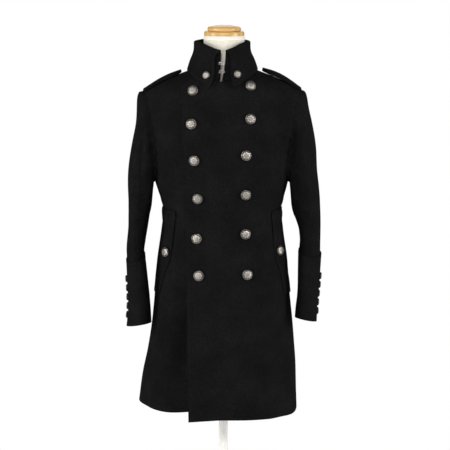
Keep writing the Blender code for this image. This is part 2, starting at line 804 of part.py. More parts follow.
def fall_faces(columns):
    """The fall's two faces, from above the stand's inner edge over the fold to its lower edge."""
    outside = FOLD_INSIDE + WALL
    grid = []
    fold_inner = []
    for _, head, out, side, turn in columns:
        centre = head + out * FOLD_INSIDE + UP * SEAM
        ways = [
            out * math.cos(angle) + UP * math.sin(angle) for angle in np.radians(FOLD_ANGLES)
        ]
        points = [centre + way * outside for way in ways]
        fold_inner.append([centre + way * FOLD_INSIDE for way in ways])
        start = points[-1]
        edges = FALL_EDGE[side]
        end = np.array([read(edges, axis, turn, key="turn") for axis in "xyz"]) * (side, 1, 1)
        front = 1 - ease(turn / FRONT_TURN)
        for drop, at_side, at_front in zip(FALL["drop"], FALL["side"], FALL["front"]):
            spread_x = at_side + (at_front - at_side) * front
            spread_y = at_side + (drop - at_side) * front
            points.append(start + (end - start) * (spread_x, spread_y, drop))
        grid.append(points)
    outer = np.array(grid)
    inner = outer + grid_normals(outer) * WALL
    inner[:, : len(FOLD_ANGLES)] = fold_inner
    return outer, inner


def common_pushes(panels):
    """Wall offsets for grids that share points: one for each shared point, a wall's depth from each."""
    pushes = [normals.copy() for _, normals in panels]
    shared = {}
    for p, (points, normals) in enumerate(panels):
        for j in range(points.shape[0]):
            for i in range(points.shape[1]):
                if j in (0, points.shape[0] - 1) or i in (0, points.shape[1] - 1):
                    key = tuple(np.round(points[j, i], 5))
                    shared.setdefault(key, []).append((p, j, i))
    for places in shared.values():
        if len(places) < 2:
            continue
        rows = np.array([panels[p][1][j, i] for p, j, i in places])
        push = np.linalg.pinv(rows, rcond=MITRE_SOFTNESS) @ np.ones(len(places))
        for p, j, i in places:
            pushes[p][j, i] = push
    return pushes


def seam_gaps(outer, inner):
    """Half a seam's gap off every edge of a wall."""
    outer = outer.copy()
    inner = inner.copy()
    for turn_axes in (False, True):
        out = outer.swapaxes(0, 1) if turn_axes else outer
        into = inner.swapaxes(0, 1) if turn_axes else inner
        for end, beside in ((0, 1), (-1, -2)):
            for face in (out, into):
                face[end] += unit(face[beside] - face[end]) * SEAM / 2
    return outer, inner


def surface(grid, wrap=False):
    """Triangles of a grid."""
    if wrap:
        grid = np.concatenate((grid, grid[:1]))
    a, b, c, d = grid[:-1, :-1], grid[1:, :-1], grid[1:, 1:], grid[:-1, 1:]
    return np.concatenate([np.stack(t, axis=2).reshape(-1, 3, 3) for t in ((a, b, c), (a, c, d))])


def fan(ring, centre):
    """Triangles from a closed ring to one point."""
    beside = np.roll(ring, -1, axis=0)
    return np.stack((ring, beside, np.broadcast_to(centre, ring.shape)), axis=1)


def rim(outer, inner, wrap=False):
    """Triangles across a wall's edge, split alike on either side of a seam."""
    if wrap:
        outer = np.concatenate((outer, outer[:1]))
        inner = np.concatenate((inner, inner[:1]))
    a, b, c, d = outer[:-1], outer[1:], inner[1:], inner[:-1]
    forward = ((b - a) @ SPLIT_WAY > 0)[:, None, None]
    first = np.where(forward, np.stack((a, b, c), axis=1), np.stack((a, b, d), axis=1))
    second = np.where(forward, np.stack((a, c, d), axis=1), np.stack((b, c, d), axis=1))
    return np.concatenate((first, second))


def wall_triangles(outer, inner, wrap=False):
    """Triangles of a wall of cloth between two grids, closed round its edges."""
    parts = [surface(outer, wrap), surface(inner, wrap)[:, ::-1]]
    parts.append(rim(outer[:, 0], inner[:, 0], wrap)[:, ::-1])
    parts.append(rim(outer[:, -1], inner[:, -1], wrap))
    if not wrap:
        parts.append(rim(outer[0], inner[0]))
        parts.append(rim(outer[-1], inner[-1])[:, ::-1])
    return np.concatenate(parts)


def solid(name, triangles, finish):
    """A closed mesh from its triangles, facing out."""
    points, index = np.unique(np.round(triangles.reshape(-1, 3), 6), axis=0, return_inverse=True)
    faces = index.reshape(-1, 3)
    whole = (faces != np.roll(faces, 1, axis=1)).all(axis=1)
    faces = faces[whole]
    if np.linalg.det(points[faces]).sum() < 0:
        faces = faces[:, ::-1]
    mesh = bpy.data.meshes.new(name)
    mesh.from_pydata(points.tolist(), [], faces.tolist())
    mesh.shade_smooth()
    mesh.set_sharp_from_angle(angle=SHARP_ANGLE)
    add_object(name, mesh, finish)
    TREES[name] = BVHTree.FromPolygons(points.tolist(), faces.tolist())


def material(name, colour, roughness, metallic=0.0):
    made = bpy.data.materials.new(name)
    made.use_nodes = True
    shader = made.node_tree.nodes["Principled BSDF"]
    shader.inputs["Base Color"].default_value = (*colour, 1.0)
    shader.inputs["Roughness"].default_value = roughness
    shader.inputs["Metallic"].default_value = metallic
    return made


def add_object(name, data, finish):
    obj = bpy.data.objects.new(name, data)
    data.materials.append(finish)
    PARTS.objects.link(obj)
    return obj


def turned(name, profile, scale, place, steps, finish):
    """A round piece from its profile, scaled by a radius and a height, standing at a place."""
    mesh = bpy.data.meshes.new(name)
    points = [(radius * scale[0], 0.0, height * scale[1]) for radius, height in reversed(profile)]
    mesh.from_pydata(points, [(i, i + 1) for i in range(len(points) - 1)], [])
    obj = add_object(name, mesh, finish)
    obj.location = place
    screw = obj.modifiers.new("Turned", "SCREW")
    screw.steps = steps
    screw.render_steps = steps
    screw.use_merge_vertices = True
    screw.merge_threshold = 0.00001
    screw.use_smooth_shade = True
    return obj


def hit(names, origin, way):
    """The first point of these pieces along a ray."""
    nearest = None
    for name in names:
        place, normal, _, distance = TREES[name].ray_cast(Vector(origin), Vector(way))
        if place is not None and (nearest is None or distance < nearest[2]):
            nearest = (np.array(place), np.array(normal), distance)
    return nearest


def landing(names, point, way):
    """Where a point lands on the pieces below it, also beside a seam that it would fall into."""
    for aside in (0.0, SEAM * 1.5, -SEAM * 1.5):
        found = hit(names, point + np.array((aside, aside, 0.0)) - way * REACH, way)
        if found is not None:
            return point + way * ((found[0] - point) @ way)
    return point


def cloth_under(names, middle, normal, radius):
    """Points of the cloth below a disc."""
    side_way = unit(np.cross(normal, UP + normal * 0.01))
    up_way = np.cross(side_way, normal)
    found = []
    for share in RIM_SHARES:
        for k in range(RIM_TESTS):
            angle = 2 * math.pi * k / RIM_TESTS
            spoke = (side_way * math.cos(angle) + up_way * math.sin(angle)) * radius * share
            below = hit(names, middle + spoke + normal * radius, -normal)
            if below is not None:
                found.append(below[0])
    return np.array(found)


def place_button(name, names, origin, way, diameter):
    """A button lying just clear of the pieces that a ray meets, square to them."""
    radius = diameter / 2
    way = unit(np.array(way, float))
    origin = np.array(origin, float)
    middle, normal, _ = hit(names, origin, way)
    for _ in range(2):
        under = cloth_under(names, middle, normal, radius)
        tilt = np.linalg.svd(under - under.mean(axis=0))[2][2]
        normal = tilt * np.sign(tilt @ normal)
    under = cloth_under(names, middle, normal, radius)
    stand_off = max(0.0, ((under - middle) @ normal).max())
    place = middle + normal * (stand_off + REST_GAP)
    size = (radius, radius)
    obj = turned(name, BUTTON_PROFILE, size, (0, 0, 0), BUTTON_STEPS[diameter], SILVER)
    turn = Vector((0, 0, 1)).rotation_difference(Vector(normal)).to_matrix().to_4x4()
    obj.matrix_world = Matrix.Translation(Vector(place)) @ turn


def laid_on(names, grid, way, thickness):
    """Outer and inner grids of a piece that lies just clear of others, seen along a way."""
    way = unit(np.array(way, float))
    low = np.array([[landing(names, p, way) for p in column] for column in grid])
    normals = grid_normals(low)
    if np.sum(normals * way) > 0:
        normals = -normals
    lift = 0.0
    for corners in surface(low):
        for shares in LIFT_TESTS:
            point = shares @ corners
            lift = max(lift, (point - landing(names, point, way)) @ way)
    low = low + normals * (lift + REST_GAP)
    return low + normals * thickness, low


def build_cloth():
    """The fronts, backs, sleeves, cuffs and collar."""
    fronts = {LEFT: lift_over(front_outer(LEFT)), RIGHT: set_back_under(front_outer(RIGHT))}
    backs = {
        LEFT: quarter(LEFT, 1, BACK_HEM)[::-1],
        RIGHT: quarter(RIGHT, 1, BACK_HEM),
    }
    sleeves = {}
    for side in (LEFT, RIGHT):
        front_edge = fronts[side][-1] if side == LEFT else fronts[side][0]
        back_edge = backs[side][0] if side == LEFT else backs[side][-1]
        sleeves[side] = sleeve_outer(side, armhole_ring(front_edge, back_edge))
    neckline = np.concatenate(
        (
            fronts[LEFT][LAP + 1 : LAP + len(FRONT_NECK_X), -1],
            backs[LEFT][SHOULDER_STEPS + 1 :, -1],
            backs[RIGHT][1 : BACK_LAST - SHOULDER_STEPS, -1],
            fronts[RIGHT][SHOULDER_STEPS : FRONT_LAST, -1],
        )
    )
    columns = collar_columns(neckline)
    stand = stand_outer(columns)

    panels = [(grid, grid_normals(grid)) for grid in (*fronts.values(), *backs.values(), stand)]
    panels += [(grid, tube_normals(grid)) for grid in sleeves.values()]
    pushes = common_pushes(panels)
    names = ("front_left", "front_right", "back_left", "back_right", "collar_stand")
    for name, (grid, _), push in zip(names, panels, pushes):
        solid(name, wall_triangles(*seam_gaps(grid, grid - push * WALL)), WOOL)
    for side, push in zip(sleeves, pushes[len(names) :]):
        outer = sleeves[side]
        inner = outer - push * WALL
        word = SIDE_NAME[side]
        upper = range(FRONT_SEAM, len(outer) - BACK_SEAM + 1)
        under = range(-BACK_SEAM, FRONT_SEAM + 1)
        for name, part in (("upper", upper), ("under", under)):
            picked = [k % len(outer) for k in part]
            walls = wall_triangles(*seam_gaps(outer[picked], inner[picked]))
            solid(f"sleeve_{name}_{word}", walls, WOOL)
        cuff = cuff_outer(side, outer)
        cuff_inner = cuff - tube_normals(cuff) * WALL
        solid(f"cuff_{word}", wall_triangles(cuff, cuff_inner, wrap=True), WOOL)
    solid("collar_fall", wall_triangles(*fall_faces(columns)), WOOL)


def build_form():
    """The linen torso below the cloth, closed at the armholes, neck and foot."""
    grids = {}
    for side in (LEFT, RIGHT):
        for face in (-1, 1):
            grids[side, face] = quarter(side, face, BACK_HEM)
    normals = {}
    for (side, face), grid in grids.items():
        normals[side, face] = grid_normals(grid) * (side * -face)
    panels = [(grids[key], normals[key]) for key in grids]
    pushes = dict(zip(grids, common_pushes(panels)))
    rows = FORM_ROWS["row"].astype(int)
    inside = FORM_ROWS["inside"] + WALL
    skins = {}
    for key, grid in grids.items():
        skin = grid[:, rows] - pushes[key][:, rows] * inside[None, :, None]
        skin[:, 0, 2] = FORM_BOTTOM
        skin[0, :, 0] = 0.0
        upper = rows >= LOW
        shift = unit(skin[-2] - skin[-1]) * FORM_SHOULDER_INSET
        skin[-1, upper] += shift[upper]
        below = ~upper
        skin[-1, below, 1] = 0.0
        skins[key] = skin
    for side in (LEFT, RIGHT):
        seam = (skins[side, -1][-1] + skins[side, 1][-1]) / 2
        joined = (rows <= LOW) | (rows == LOW + TOP)
        for face in (-1, 1):
            skins[side, face][-1, joined] = seam[joined]
        steps = SHOULDER_STEPS + 1
        ridge = (skins[side, -1][-steps:, -1] + skins[side, 1][-steps:, -1]) / 2
        for face in (-1, 1):
            skins[side, face][-steps:, -1] = ridge
    for face in (-1, 1):
        middle = (skins[LEFT, face][0] + skins[RIGHT, face][0]) / 2
        for side in (LEFT, RIGHT):
            skins[side, face][0] = middle

    parts = []
    for (side, face), skin in skins.items():
        ordered = skin if side * face < 0 else skin[::-1]
        parts.append(surface(ordered))
    for side in (LEFT, RIGHT):
        plate = np.stack((skins[side, -1][-1], skins[side, 1][-1]))
        parts.append(surface(plate if side == LEFT else plate[::-1]))

    def loop(row, front_count, back_count):
        left_front = skins[LEFT, -1][:front_count, row]
        left_back = skins[LEFT, 1][: back_count - 1, row][::-1]
        right_back = skins[RIGHT, 1][1 : back_count - 1, row]
        right_front = skins[RIGHT, -1][1:front_count, row][::-1]
        return np.concatenate((left_front, left_back, right_back, right_front))

    foot = loop(0, FRONT_LAST + 1, BACK_LAST + 1)
    foot_middle = np.array((0.0, 0.0, FORM_BOTTOM))
    parts.append(fan(foot, foot_middle)[:, ::-1])
    base = loop(-1, len(FRONT_NECK_X), len(BACK_NECK_X))
    neck_middle = np.array((FORM_NECK_X, FORM_NECK_Y, 0.0))
    half_x, half_y = FORM_NECK_HALF
    rings = [base]
    for i in range(len(FORM_NECK["blend"])):
        ring = []
        for point in base:
            angle = math.atan2((point[1] - FORM_NECK_Y) / half_y, (point[0] - FORM_NECK_X) / half_x)
            size = FORM_NECK["size"][i]
            target = neck_middle[:2] + size * np.array(
                (half_x * math.cos(angle), half_y * math.sin(angle))
            )
            flat = point[:2] + (target - point[:2]) * FORM_NECK["blend"][i]
            ring.append((*flat, point[2] + (NECK_TOP - point[2]) * FORM_NECK["rise"][i]))
        rings.append(np.array(ring))
    parts.append(surface(np.array(rings).transpose(1, 0, 2), wrap=True))
    parts.append(fan(rings[-1], neck_middle + UP * NECK_TOP))
    solid("form_torso", np.concatenate(parts), LINEN)


def build_stand():
    """The form's turned cap, pole and base."""
    lower_z = NECK_TOP + REST_GAP
    upper_z = lower_z + CAP_LOWER[1] + REST_GAP
    turned("cap_lower", CAP_PROFILE, CAP_LOWER, (FORM_NECK_X, FORM_NECK_Y, lower_z), CAP_STEPS, WOOD)
    turned("cap_upper", CAP_PROFILE, CAP_UPPER, (FORM_NECK_X, FORM_NECK_Y, upper_z), CAP_STEPS, WOOD)
    turned("stand_base", BASE_PROFILE, (1.0, 1.0), (0.0, 0.0, 0.0), BASE_STEPS, PAINT)
    foot_z = BASE_PROFILE[-1][1] + REST_GAP
    height = FORM_BOTTOM - REST_GAP - foot_z
    turned("stand_pole", POLE_PROFILE, (POLE_RADIUS, height), (0.0, 0.0, foot_z), POLE_STEPS, PAINT)


def build_strap(side):
    """A shoulder strap along the shoulder seam, pointed and thick with its turnings at the collar."""
    word = SIDE_NAME[side]
    xs = np.linspace(STRAP_INNER_X[side], STRAP_OUTER_X[side], STRAP_STATIONS)
    columns = []
    for k, x in enumerate(xs):
        half_width = STRAP_HALF_WIDTH * (STRAP_POINT if k == 0 else 1.0)
        columns.append([(side * x, y * half_width, SHOULDER_TIP_Z) for y in STRAP_ACROSS])
    names = (f"front_{word}", f"back_{word}", f"sleeve_upper_{word}")
    outer, inner = laid_on(names, np.array(columns), (0, 0, -1), STRAP_WALL)
    share = (xs - xs[0]) / (xs[-1] - xs[0])
    raised = STRAP_RAISED[side] * (1 - share) + STRAP_ARCH[side] * np.sin(math.pi * share)
    rise = raised[:, None, None] * UP
    under = inner + rise * STRAP_UNDER_SHARE
    solid(f"epaulette_{word}", wall_triangles(outer + rise, under), WOOL)


def build_flap(side):
    """A pocket flap from its free front edge to the side seam."""
    word = SIDE_NAME[side]
    columns = []
    for share in np.linspace(0.0, 1.0, FLAP_COLUMNS):
        column = []
        for z in FLAP["z"]:
            half_width = read(BODY, word, z)
            first = turn_of(side, read(FLAP, word, z) * half_width, z)
            last = turn_of(side, FLAP_BACK * half_width, z)
            x = x_of(side, first + (last - first) * share, z)
            column.append(body_point(side, -1, x, z))
        columns.append(column)
    grid = np.array(columns)
    way = (-side * FLAP_WAY[0], FLAP_WAY[1], 0.0)
    outer, inner = laid_on((f"front_{word}",), grid, way, FLAP_WALL)
    solid(f"flap_{word}", wall_triangles(outer, inner), WOOL)


def build_buttons():
    for k in range(len(BUTTON_ROWS["left"])):
        for side in (LEFT, RIGHT):
            word = SIDE_NAME[side]
            x, z = BUTTON_ROWS[word][k], BUTTON_ROWS[f"z_{word}"][k]
            name = f"button_{word}_{k + 1}"
            place_button(name, ("front_left",), (side * x, -1, z), (0, 1, 0), BIG_BUTTON)
    for side in (LEFT, RIGHT):
        word = SIDE_NAME[side]
        x, z = FLAP_BUTTON[side]
        name = f"button_flap_{word}"
        place_button(name, (f"flap_{word}",), (side * x, -1, z), (0, 1, 0), BIG_BUTTON)
        x, z = COLLAR_BUTTON[side]
        name = f"button_collar_{word}"
        place_button(name, ("collar_fall",), (side * x, -1, z), (0, 1, 0), SMALL_BUTTON)
        for k in range(CUFF_BUTTONS):
            share = k / (CUFF_BUTTONS - 1)
            z = CUFF_BUTTON_TOP[side] + (CUFF_BUTTON_LOW[side] - CUFF_BUTTON_TOP[side]) * share
            middle = np.array((side * CUFF_MIDDLE[0], CUFF_MIDDLE[1], z))
            out = np.array((side * math.cos(CUFF_BUTTON_ANGLE), -math.sin(CUFF_BUTTON_ANGLE), 0.0))
            name = f"button_cuff_{word}_{k + 1}"
            place_button(name, (f"cuff_{word}",), middle + out, -out, SMALL_BUTTON)


def build_hooks():
    """Bent wire hooks that close the stand at the throat."""
    for name, z in HOOKS.items():
        y = 0.0
        for x in HOOK_TESTS:
            for _, up in HOOK_SHAPE:
                found = hit(("collar_stand",), (x, -1, z + up), (0, 1, 0))
                if found is not None:
                    y = min(y, found[0][1])
        y -= HOOK_WIRE + REST_GAP
        wire = bpy.data.curves.new(name, "CURVE")
        wire.dimensions = "3D"
        wire.bevel_depth = HOOK_WIRE
        wire.bevel_resolution = 1
        wire.use_fill_caps = True
        line = wire.splines.new("POLY")
        line.points.add(len(HOOK_SHAPE) - 1)
        for point, (x, up) in zip(line.points, HOOK_SHAPE):
            point.co = (x, y, z + up, 1.0)
        add_object(name, wire, STEEL)


for old in list(bpy.data.objects):
    bpy.data.objects.remove(old)
PARTS = bpy.data.collections.new("napoleon_coat")
bpy.context.scene.collection.children.link(PARTS)
TREES = {}

WOOL = material("black wool", (0.012, 0.012, 0.013), 0.9)
SILVER = material("old silver", (0.34, 0.32, 0.29), 0.38, 1.0)
STEEL = material("hook steel", (0.55, 0.55, 0.55), 0.3, 1.0)
LINEN = material("linen", (0.62, 0.53, 0.40), 0.85)
WOOD = material("turned wood", (0.62, 0.37, 0.17), 0.45)
PAINT = material("cream paint", (0.80, 0.78, 0.73), 0.4)

build_cloth()
build_form()
build_stand()
for wearer_side in (LEFT, RIGHT):
    build_strap(wearer_side)
    build_flap(wearer_side)
build_buttons()
build_hooks()
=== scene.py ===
"""Looks of a double-breasted napoleon coat of black wool, worn on a linen dress form.

Metres, +Z up, the coat's front towards -Y. Left and right in names are the wearer's, so left is +X.
Each cloth piece is grown from the frame's own wall of that name: smoothed, creased, its edges
rounded, and sewn. Buttons, hooks, form and stand are finer pieces in the places of their nodes.
"""

import math

import bmesh
import bpy
import numpy as np
from mathutils import Matrix, Vector
from mathutils.bvhtree import BVHTree
from mathutils.kdtree import KDTree

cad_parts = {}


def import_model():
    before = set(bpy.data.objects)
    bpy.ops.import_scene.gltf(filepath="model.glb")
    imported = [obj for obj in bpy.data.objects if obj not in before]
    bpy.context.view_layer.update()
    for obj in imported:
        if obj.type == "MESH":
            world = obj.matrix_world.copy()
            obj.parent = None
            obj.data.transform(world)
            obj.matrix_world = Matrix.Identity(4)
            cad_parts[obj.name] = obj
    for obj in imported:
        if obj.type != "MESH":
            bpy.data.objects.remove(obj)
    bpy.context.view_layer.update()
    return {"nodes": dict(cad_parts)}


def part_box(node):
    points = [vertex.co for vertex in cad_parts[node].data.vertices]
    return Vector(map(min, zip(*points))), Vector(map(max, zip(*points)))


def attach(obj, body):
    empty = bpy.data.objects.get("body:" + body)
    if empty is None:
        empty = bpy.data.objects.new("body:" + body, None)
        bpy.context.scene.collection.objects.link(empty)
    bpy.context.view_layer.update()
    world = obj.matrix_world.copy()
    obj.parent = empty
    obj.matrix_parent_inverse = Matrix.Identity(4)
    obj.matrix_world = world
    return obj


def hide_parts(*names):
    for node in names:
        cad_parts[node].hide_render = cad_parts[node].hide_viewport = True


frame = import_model()
NODES = frame["nodes"]

RIGHT, LEFT = -1, 1
SIDES = {"left": LEFT, "right": RIGHT}
UP = np.array((0.0, 0.0, 1.0))

# Camera and picture
CAMERA_PLACE = (0.005, -3.6, 1.74)
CAMERA_PITCH = math.radians(11.92)
LENS_MM = 106.4
SENSOR_MM = 36.0

# Studio: name, place, aim, size and power of each light
LIGHTS = (
    ("front", (-0.5, -3.7, 3.3), (0.0, 0.0, 1.05), (1.1, 1.1), 110.0),
    ("left", (-3.0, -1.3, 1.7), (0.0, 0.0, 1.05), (0.9, 1.8), 95.0),
    ("right", (3.0, -1.3, 1.7), (0.0, 0.0, 1.05), (0.9, 1.8), 95.0),
    ("back", (0.3, 2.6, 2.6), (0.0, 0.0, 1.2), (2.0, 1.2), 25.0),
)
AMBIENT = 0.06
FLOOR_GLOW = 0.12
FLOOR_HALF = 60.0
FLOOR_DROP = 0.0005
FLOOR_COLOUR = (0.8, 0.8, 0.8, 1.0)
FLOOR_ROUGHNESS = 0.9

# Making the walls smooth: the angles up to which triangles are joined, a wall's sharp corners, how
# near another piece's edge is sewn to it, and how far sewn edges are drawn together
MERGE = 0.00002
JOIN_ANGLES = (math.radians(10), math.radians(25), math.radians(45))
JOIN_SHAPE = 3
CORNER = math.radians(50)
SEAM_REACH = 0.0026
SEAM_CLOSED = 0.46
FIT_ROUNDS = 3
LARGE = ("front", "back", "sleeve")
LARGE_LEVELS = 3
SMALL_LEVELS = 2
FREE_EDGE_ROUND = 0.0011
SEAM_ROUND = 0.0005
ROUND_STEPS = 2
SMOOTH_ANGLE = math.radians(40)

# The body's and sleeves' rough sections, which creases are laid out on and pushed along
BODY_HALF = np.array((0.180, 0.124))
GIRTH_RADIUS = 0.175
SLEEVE_HALF = np.array((0.028, 0.072))
AXIS_BINS = 14
AXIS_DEGREE = 4

# A crease wanders from its line by a share of its width, and loses height towards its ends.
WANDER = 0.35
WANDER_RATE = 5.0
WANDER_PHASE = 1.7
END_HEIGHT = 0.35
END_FROM = 1.15

# Creases of the body end below the shoulders, and all of them beside the armholes.
CREASES_TOP = 1.36
CREASES_FADE = 0.10
ARMHOLE_REACH = 0.0070
ARMHOLE_FADE = 0.026

# The dips before and behind the arm
DIP_DEPTH = 0.0055
DIP_REACH = 0.0150
DIP_TOP = 1.290
DIP_FOOT = 1.075
DIP_FADE = 0.040

# Stitches: where they lie, their form as (place, size) along and across, and how a place for one is
# looked for: from above the cloth, not too far from it, facing out, and clear of the edge
STITCH_INSET = 0.006
STITCH_PITCH = 0.0036
STITCH_LENGTH = 0.0027
STITCH_RADIUS = 0.00028
STITCH_SIDES = 6
STITCH_RINGS = ((-0.5, 0.3), (-0.3, 1.0), (0.3, 1.0), (0.5, 0.3))
STITCH_RISE = 0.3
STITCH_FROM = 0.004
STITCH_REACH = 0.008
STITCH_FACING = 0.2
STITCH_CLEAR = STITCH_INSET * 0.8
STITCH_EDGE = STITCH_INSET * 0.72
LEAST_STITCHES = 4
FRONT_HEM_TOP = 0.52
CUFF_HEM_TOP = 0.80

# Buttons, in radii: the mesh's rings, as first, last and how many; the dome's edge, height there and
# rise; the rim's and groove's place, half width and height; the boss; the two rings of petals, as
# start, reach, height and wave; and the side and back below the face
BUTTON_FACE = (0.02, 0.90, 20)
BUTTON_EDGE = (0.92, 1.0, 8)
BUTTON_SPOKES = 72
BUTTON_SHARP = math.radians(60)
LARGE_BUTTON = 0.012
DOME_EDGE = 0.86
DOME_HEIGHT = 0.36
DOME_RISE = 0.13
RIM = (0.91, 0.050, 0.050)
GROOVE = (0.81, 0.035, -0.022)
BOSS_RADIUS = 0.14
BOSS_HEIGHT = 0.070
PETAL_TURNS = 4
PETAL_ROUND = 0.7
PETALS = ((0.30, 0.48, 0.080, np.cos), (0.10, 0.36, 0.066, np.sin))
RELIEF_TOP = 0.080
BUTTON_SIDE = 0.18
BUTTON_FALL = 0.07
BUTTON_BACK = ((1.0, 0.12), (0.95, 0.03), (0.88, 0.0))

# Dress form: its cover, drawn in below the collar, and the tape round its neck, whose section is
# given as (thickness, drop) in shares
FORM_LEVELS = 2
FORM_ROUND = 0.0015
FORM_CLEARANCE = 0.0065
FORM_BARE_FROM = 1.385
FORM_FADE = 0.05
TAPE_HEIGHT = 0.0068
TAPE_DROP = 0.0014
TAPE_THICK = 0.0009
TAPE_LIFT = 0.0002
TAPE_SECTION = ((0, 0), (1, 0.12), (1, 0.88), (0, 1))
OUTSIDE_NECK = 0.2

# Turned pieces, as (radius, height) in shares of their node's box, from the middle of the top to the
# middle of the foot. The lower cap's rounded rim is given by its width and height, at top and foot.
TURN_STEPS = 96
AXIS_SHARE = 0.001
CAP_UPPER_SHARES = (
    (0.0, 1.0),
    (0.30, 0.985),
    (0.55, 0.93),
    (0.75, 0.85),
    (0.88, 0.76),
    (0.955, 0.67),
    (0.985, 0.58),
    (1.0, 0.45),
    (1.0, 0.16),
    (0.99, 0.05),
    (0.97, 0.0),
    (0.0, 0.0),
)
CAP_LOWER_MIDDLE = ((0.0, 1.0), (0.5, 0.995))
CAP_LOWER_TOP = (0.07, 0.45)
CAP_LOWER_FOOT = (0.042, 0.22)
CAP_LOWER_STEPS = 6
POLE_SHARES = ((0, 1), (1, 1), (1, 0), (0, 0))
BASE_SHARES = (
    (0.0, 1.0),
    (0.130, 1.0),
    (0.137, 0.97),
    (0.140, 0.90),
    (0.150, 0.80),
    (0.185, 0.71),
    (0.320, 0.62),
    (0.965, 0.415),
    (0.985, 0.39),
    (0.997, 0.33),
    (1.0, 0.28),
    (1.0, 0.09),
    (0.994, 0.03),
    (0.978, 0.0),
    (0.0, 0.0),
)

# Hooks: the wire's radius, and its path across and up from its node's middle
HOOK_WIRE = 0.0008
HOOK_SMOOTHNESS = 4
HOOK_PATH = (
    (-0.0110, 0.0022),
    (0.0022, 0.0022),
    (0.0041, 0.0),
    (0.0022, -0.0022),
    (-0.0110, -0.0022),
)

# Tones of the materials, as (position on their noise, colour)
WOOL_TONES = (
    (0.30, (0.0034, 0.0034, 0.0035)),
    (0.50, (0.0060, 0.0059, 0.0060)),
    (0.72, (0.0108, 0.0106, 0.0107)),
)
SILVER_TONES = (
    (0.20, (0.040, 0.036, 0.032)),
    (0.50, (0.160, 0.147, 0.130)),
    (0.95, (0.420, 0.392, 0.355)),
)
LINEN_TONES = (
    (0.30, (0.640, 0.590, 0.485)),
    (0.55, (0.700, 0.660, 0.560)),
    (0.80, (0.760, 0.725, 0.645)),
)
WOOD_TONES = (
    (0.30, (0.380, 0.205, 0.060)),
    (0.50, (0.510, 0.302, 0.094)),
    (0.70, (0.610, 0.385, 0.135)),
)
PAINT_TONES = ((0.30, (0.74, 0.72, 0.66)), (0.70, (0.84, 0.82, 0.78)))
STEEL_TONES = ((0.35, (0.42, 0.41, 0.40)), (0.65, (0.66, 0.66, 0.66)))
THREAD_COLOUR = (0.0060, 0.0060, 0.0065)
TAPE_COLOUR = (0.74, 0.70, 0.62)
WEAVE_PITCH = 0.0011
WHITE = (1.0, 1.0, 1.0, 1.0)

# The linen is painted darker inside the collar as painted shade: its tones are multiplied by these
# shares at these heights.
COLLAR_SHADE_HEIGHTS = (1.405, 1.455)
COLLAR_SHADE_SHARES = (0.50, 1.0)


def table(columns, rows):
    """A short table as {column name: values down the rows}."""
    return dict(zip(columns.split(), np.array(rows, float).T))


# Body creases, from one end to the other: distance round from the middle of the front (+ to the
# wearer's left, about 0.27 at the side seams) and height above the floor; then the crease's half
# width and its own height (- for a trough).
BODY_CREASES = table(
    "u0 z0 u1 z1 width height",
    (
        (-0.196, 1.250, -0.186, 1.125, 0.0110, -0.0048),
        (0.190, 1.240, 0.178, 1.120, 0.0110, -0.0048),
        (-0.225, 1.215, -0.150, 1.265, 0.0150, -0.0016),
        (0.220, 1.205, 0.140, 1.250, 0.0150, -0.0018),
        (-0.275, 1.036, -0.140, 1.022, 0.0080, -0.0042),
        (0.275, 1.034, 0.155, 1.026, 0.0080, -0.0042),
        (-0.280, 1.062, -0.190, 1.072, 0.0090, -0.0018),
        (0.280, 1.064, 0.205, 1.078, 0.0090, -0.0016),
        (-0.275, 1.000, -0.215, 0.992, 0.0080, -0.0014),
        (0.275, 1.004, 0.200, 0.990, 0.0080, -0.0016),
        (-0.115, 1.085, -0.128, 0.960, 0.0140, 0.0012),
        (0.118, 1.120, 0.126, 0.985, 0.0150, 0.0012),
        (0.216, 0.830, 0.232, 0.470, 0.0165, 0.0072),
        (0.172, 0.780, 0.182, 0.468, 0.0160, -0.0044),
        (0.290, 0.780, 0.300, 0.480, 0.0150, -0.0030),
        (0.118, 0.720, 0.130, 0.465, 0.0180, -0.0026),
        (0.045, 0.640, 0.060, 0.465, 0.0240, 0.0016),
        (-0.162, 0.800, -0.176, 0.468, 0.0170, 0.0040),
        (-0.036, 0.700, -0.028, 0.465, 0.0260, -0.0012),
        (-0.205, 0.760, -0.250, 0.480, 0.0170, 0.0024),
        (-0.262, 0.820, -0.305, 0.480, 0.0160, -0.0030),
        (0.330, 0.860, 0.345, 0.470, 0.0190, 0.0034),
        (-0.345, 0.880, -0.375, 0.480, 0.0190, 0.0034),
        (0.405, 0.900, 0.420, 0.470, 0.0180, -0.0036),
        (-0.420, 0.860, -0.440, 0.475, 0.0180, -0.0036),
        (0.470, 0.930, 0.485, 0.470, 0.0180, 0.0030),
        (-0.485, 0.950, -0.500, 0.475, 0.0190, 0.0030),
        (0.290, 1.030, 0.470, 1.020, 0.0100, -0.0034),
        (-0.290, 1.034, -0.450, 1.026, 0.0100, -0.0034),
        (0.300, 1.062, 0.410, 1.072, 0.0090, -0.0022),
        (-0.310, 1.066, -0.390, 1.080, 0.0090, -0.0020),
        (0.300, 0.996, 0.380, 0.984, 0.0090, -0.0018),
        (0.330, 1.150, 0.345, 1.280, 0.0130, -0.0026),
        (-0.340, 1.140, -0.350, 1.275, 0.0130, -0.0026),
        (0.380, 1.100, 0.420, 1.250, 0.0180, 0.0018),
        (-0.390, 1.110, -0.430, 1.240, 0.0180, 0.0018),
    ),
)

# Troughs of the under front alone, which falls back from the over front's edge down the skirt.
UNDER_CREASES = table(
    "u0 z0 u1 z1 width height",
    (
        (-0.098, 0.850, -0.106, 0.465, 0.0280, -0.0115),
        (-0.072, 0.850, -0.080, 0.465, 0.0280, -0.0085),
    ),
)

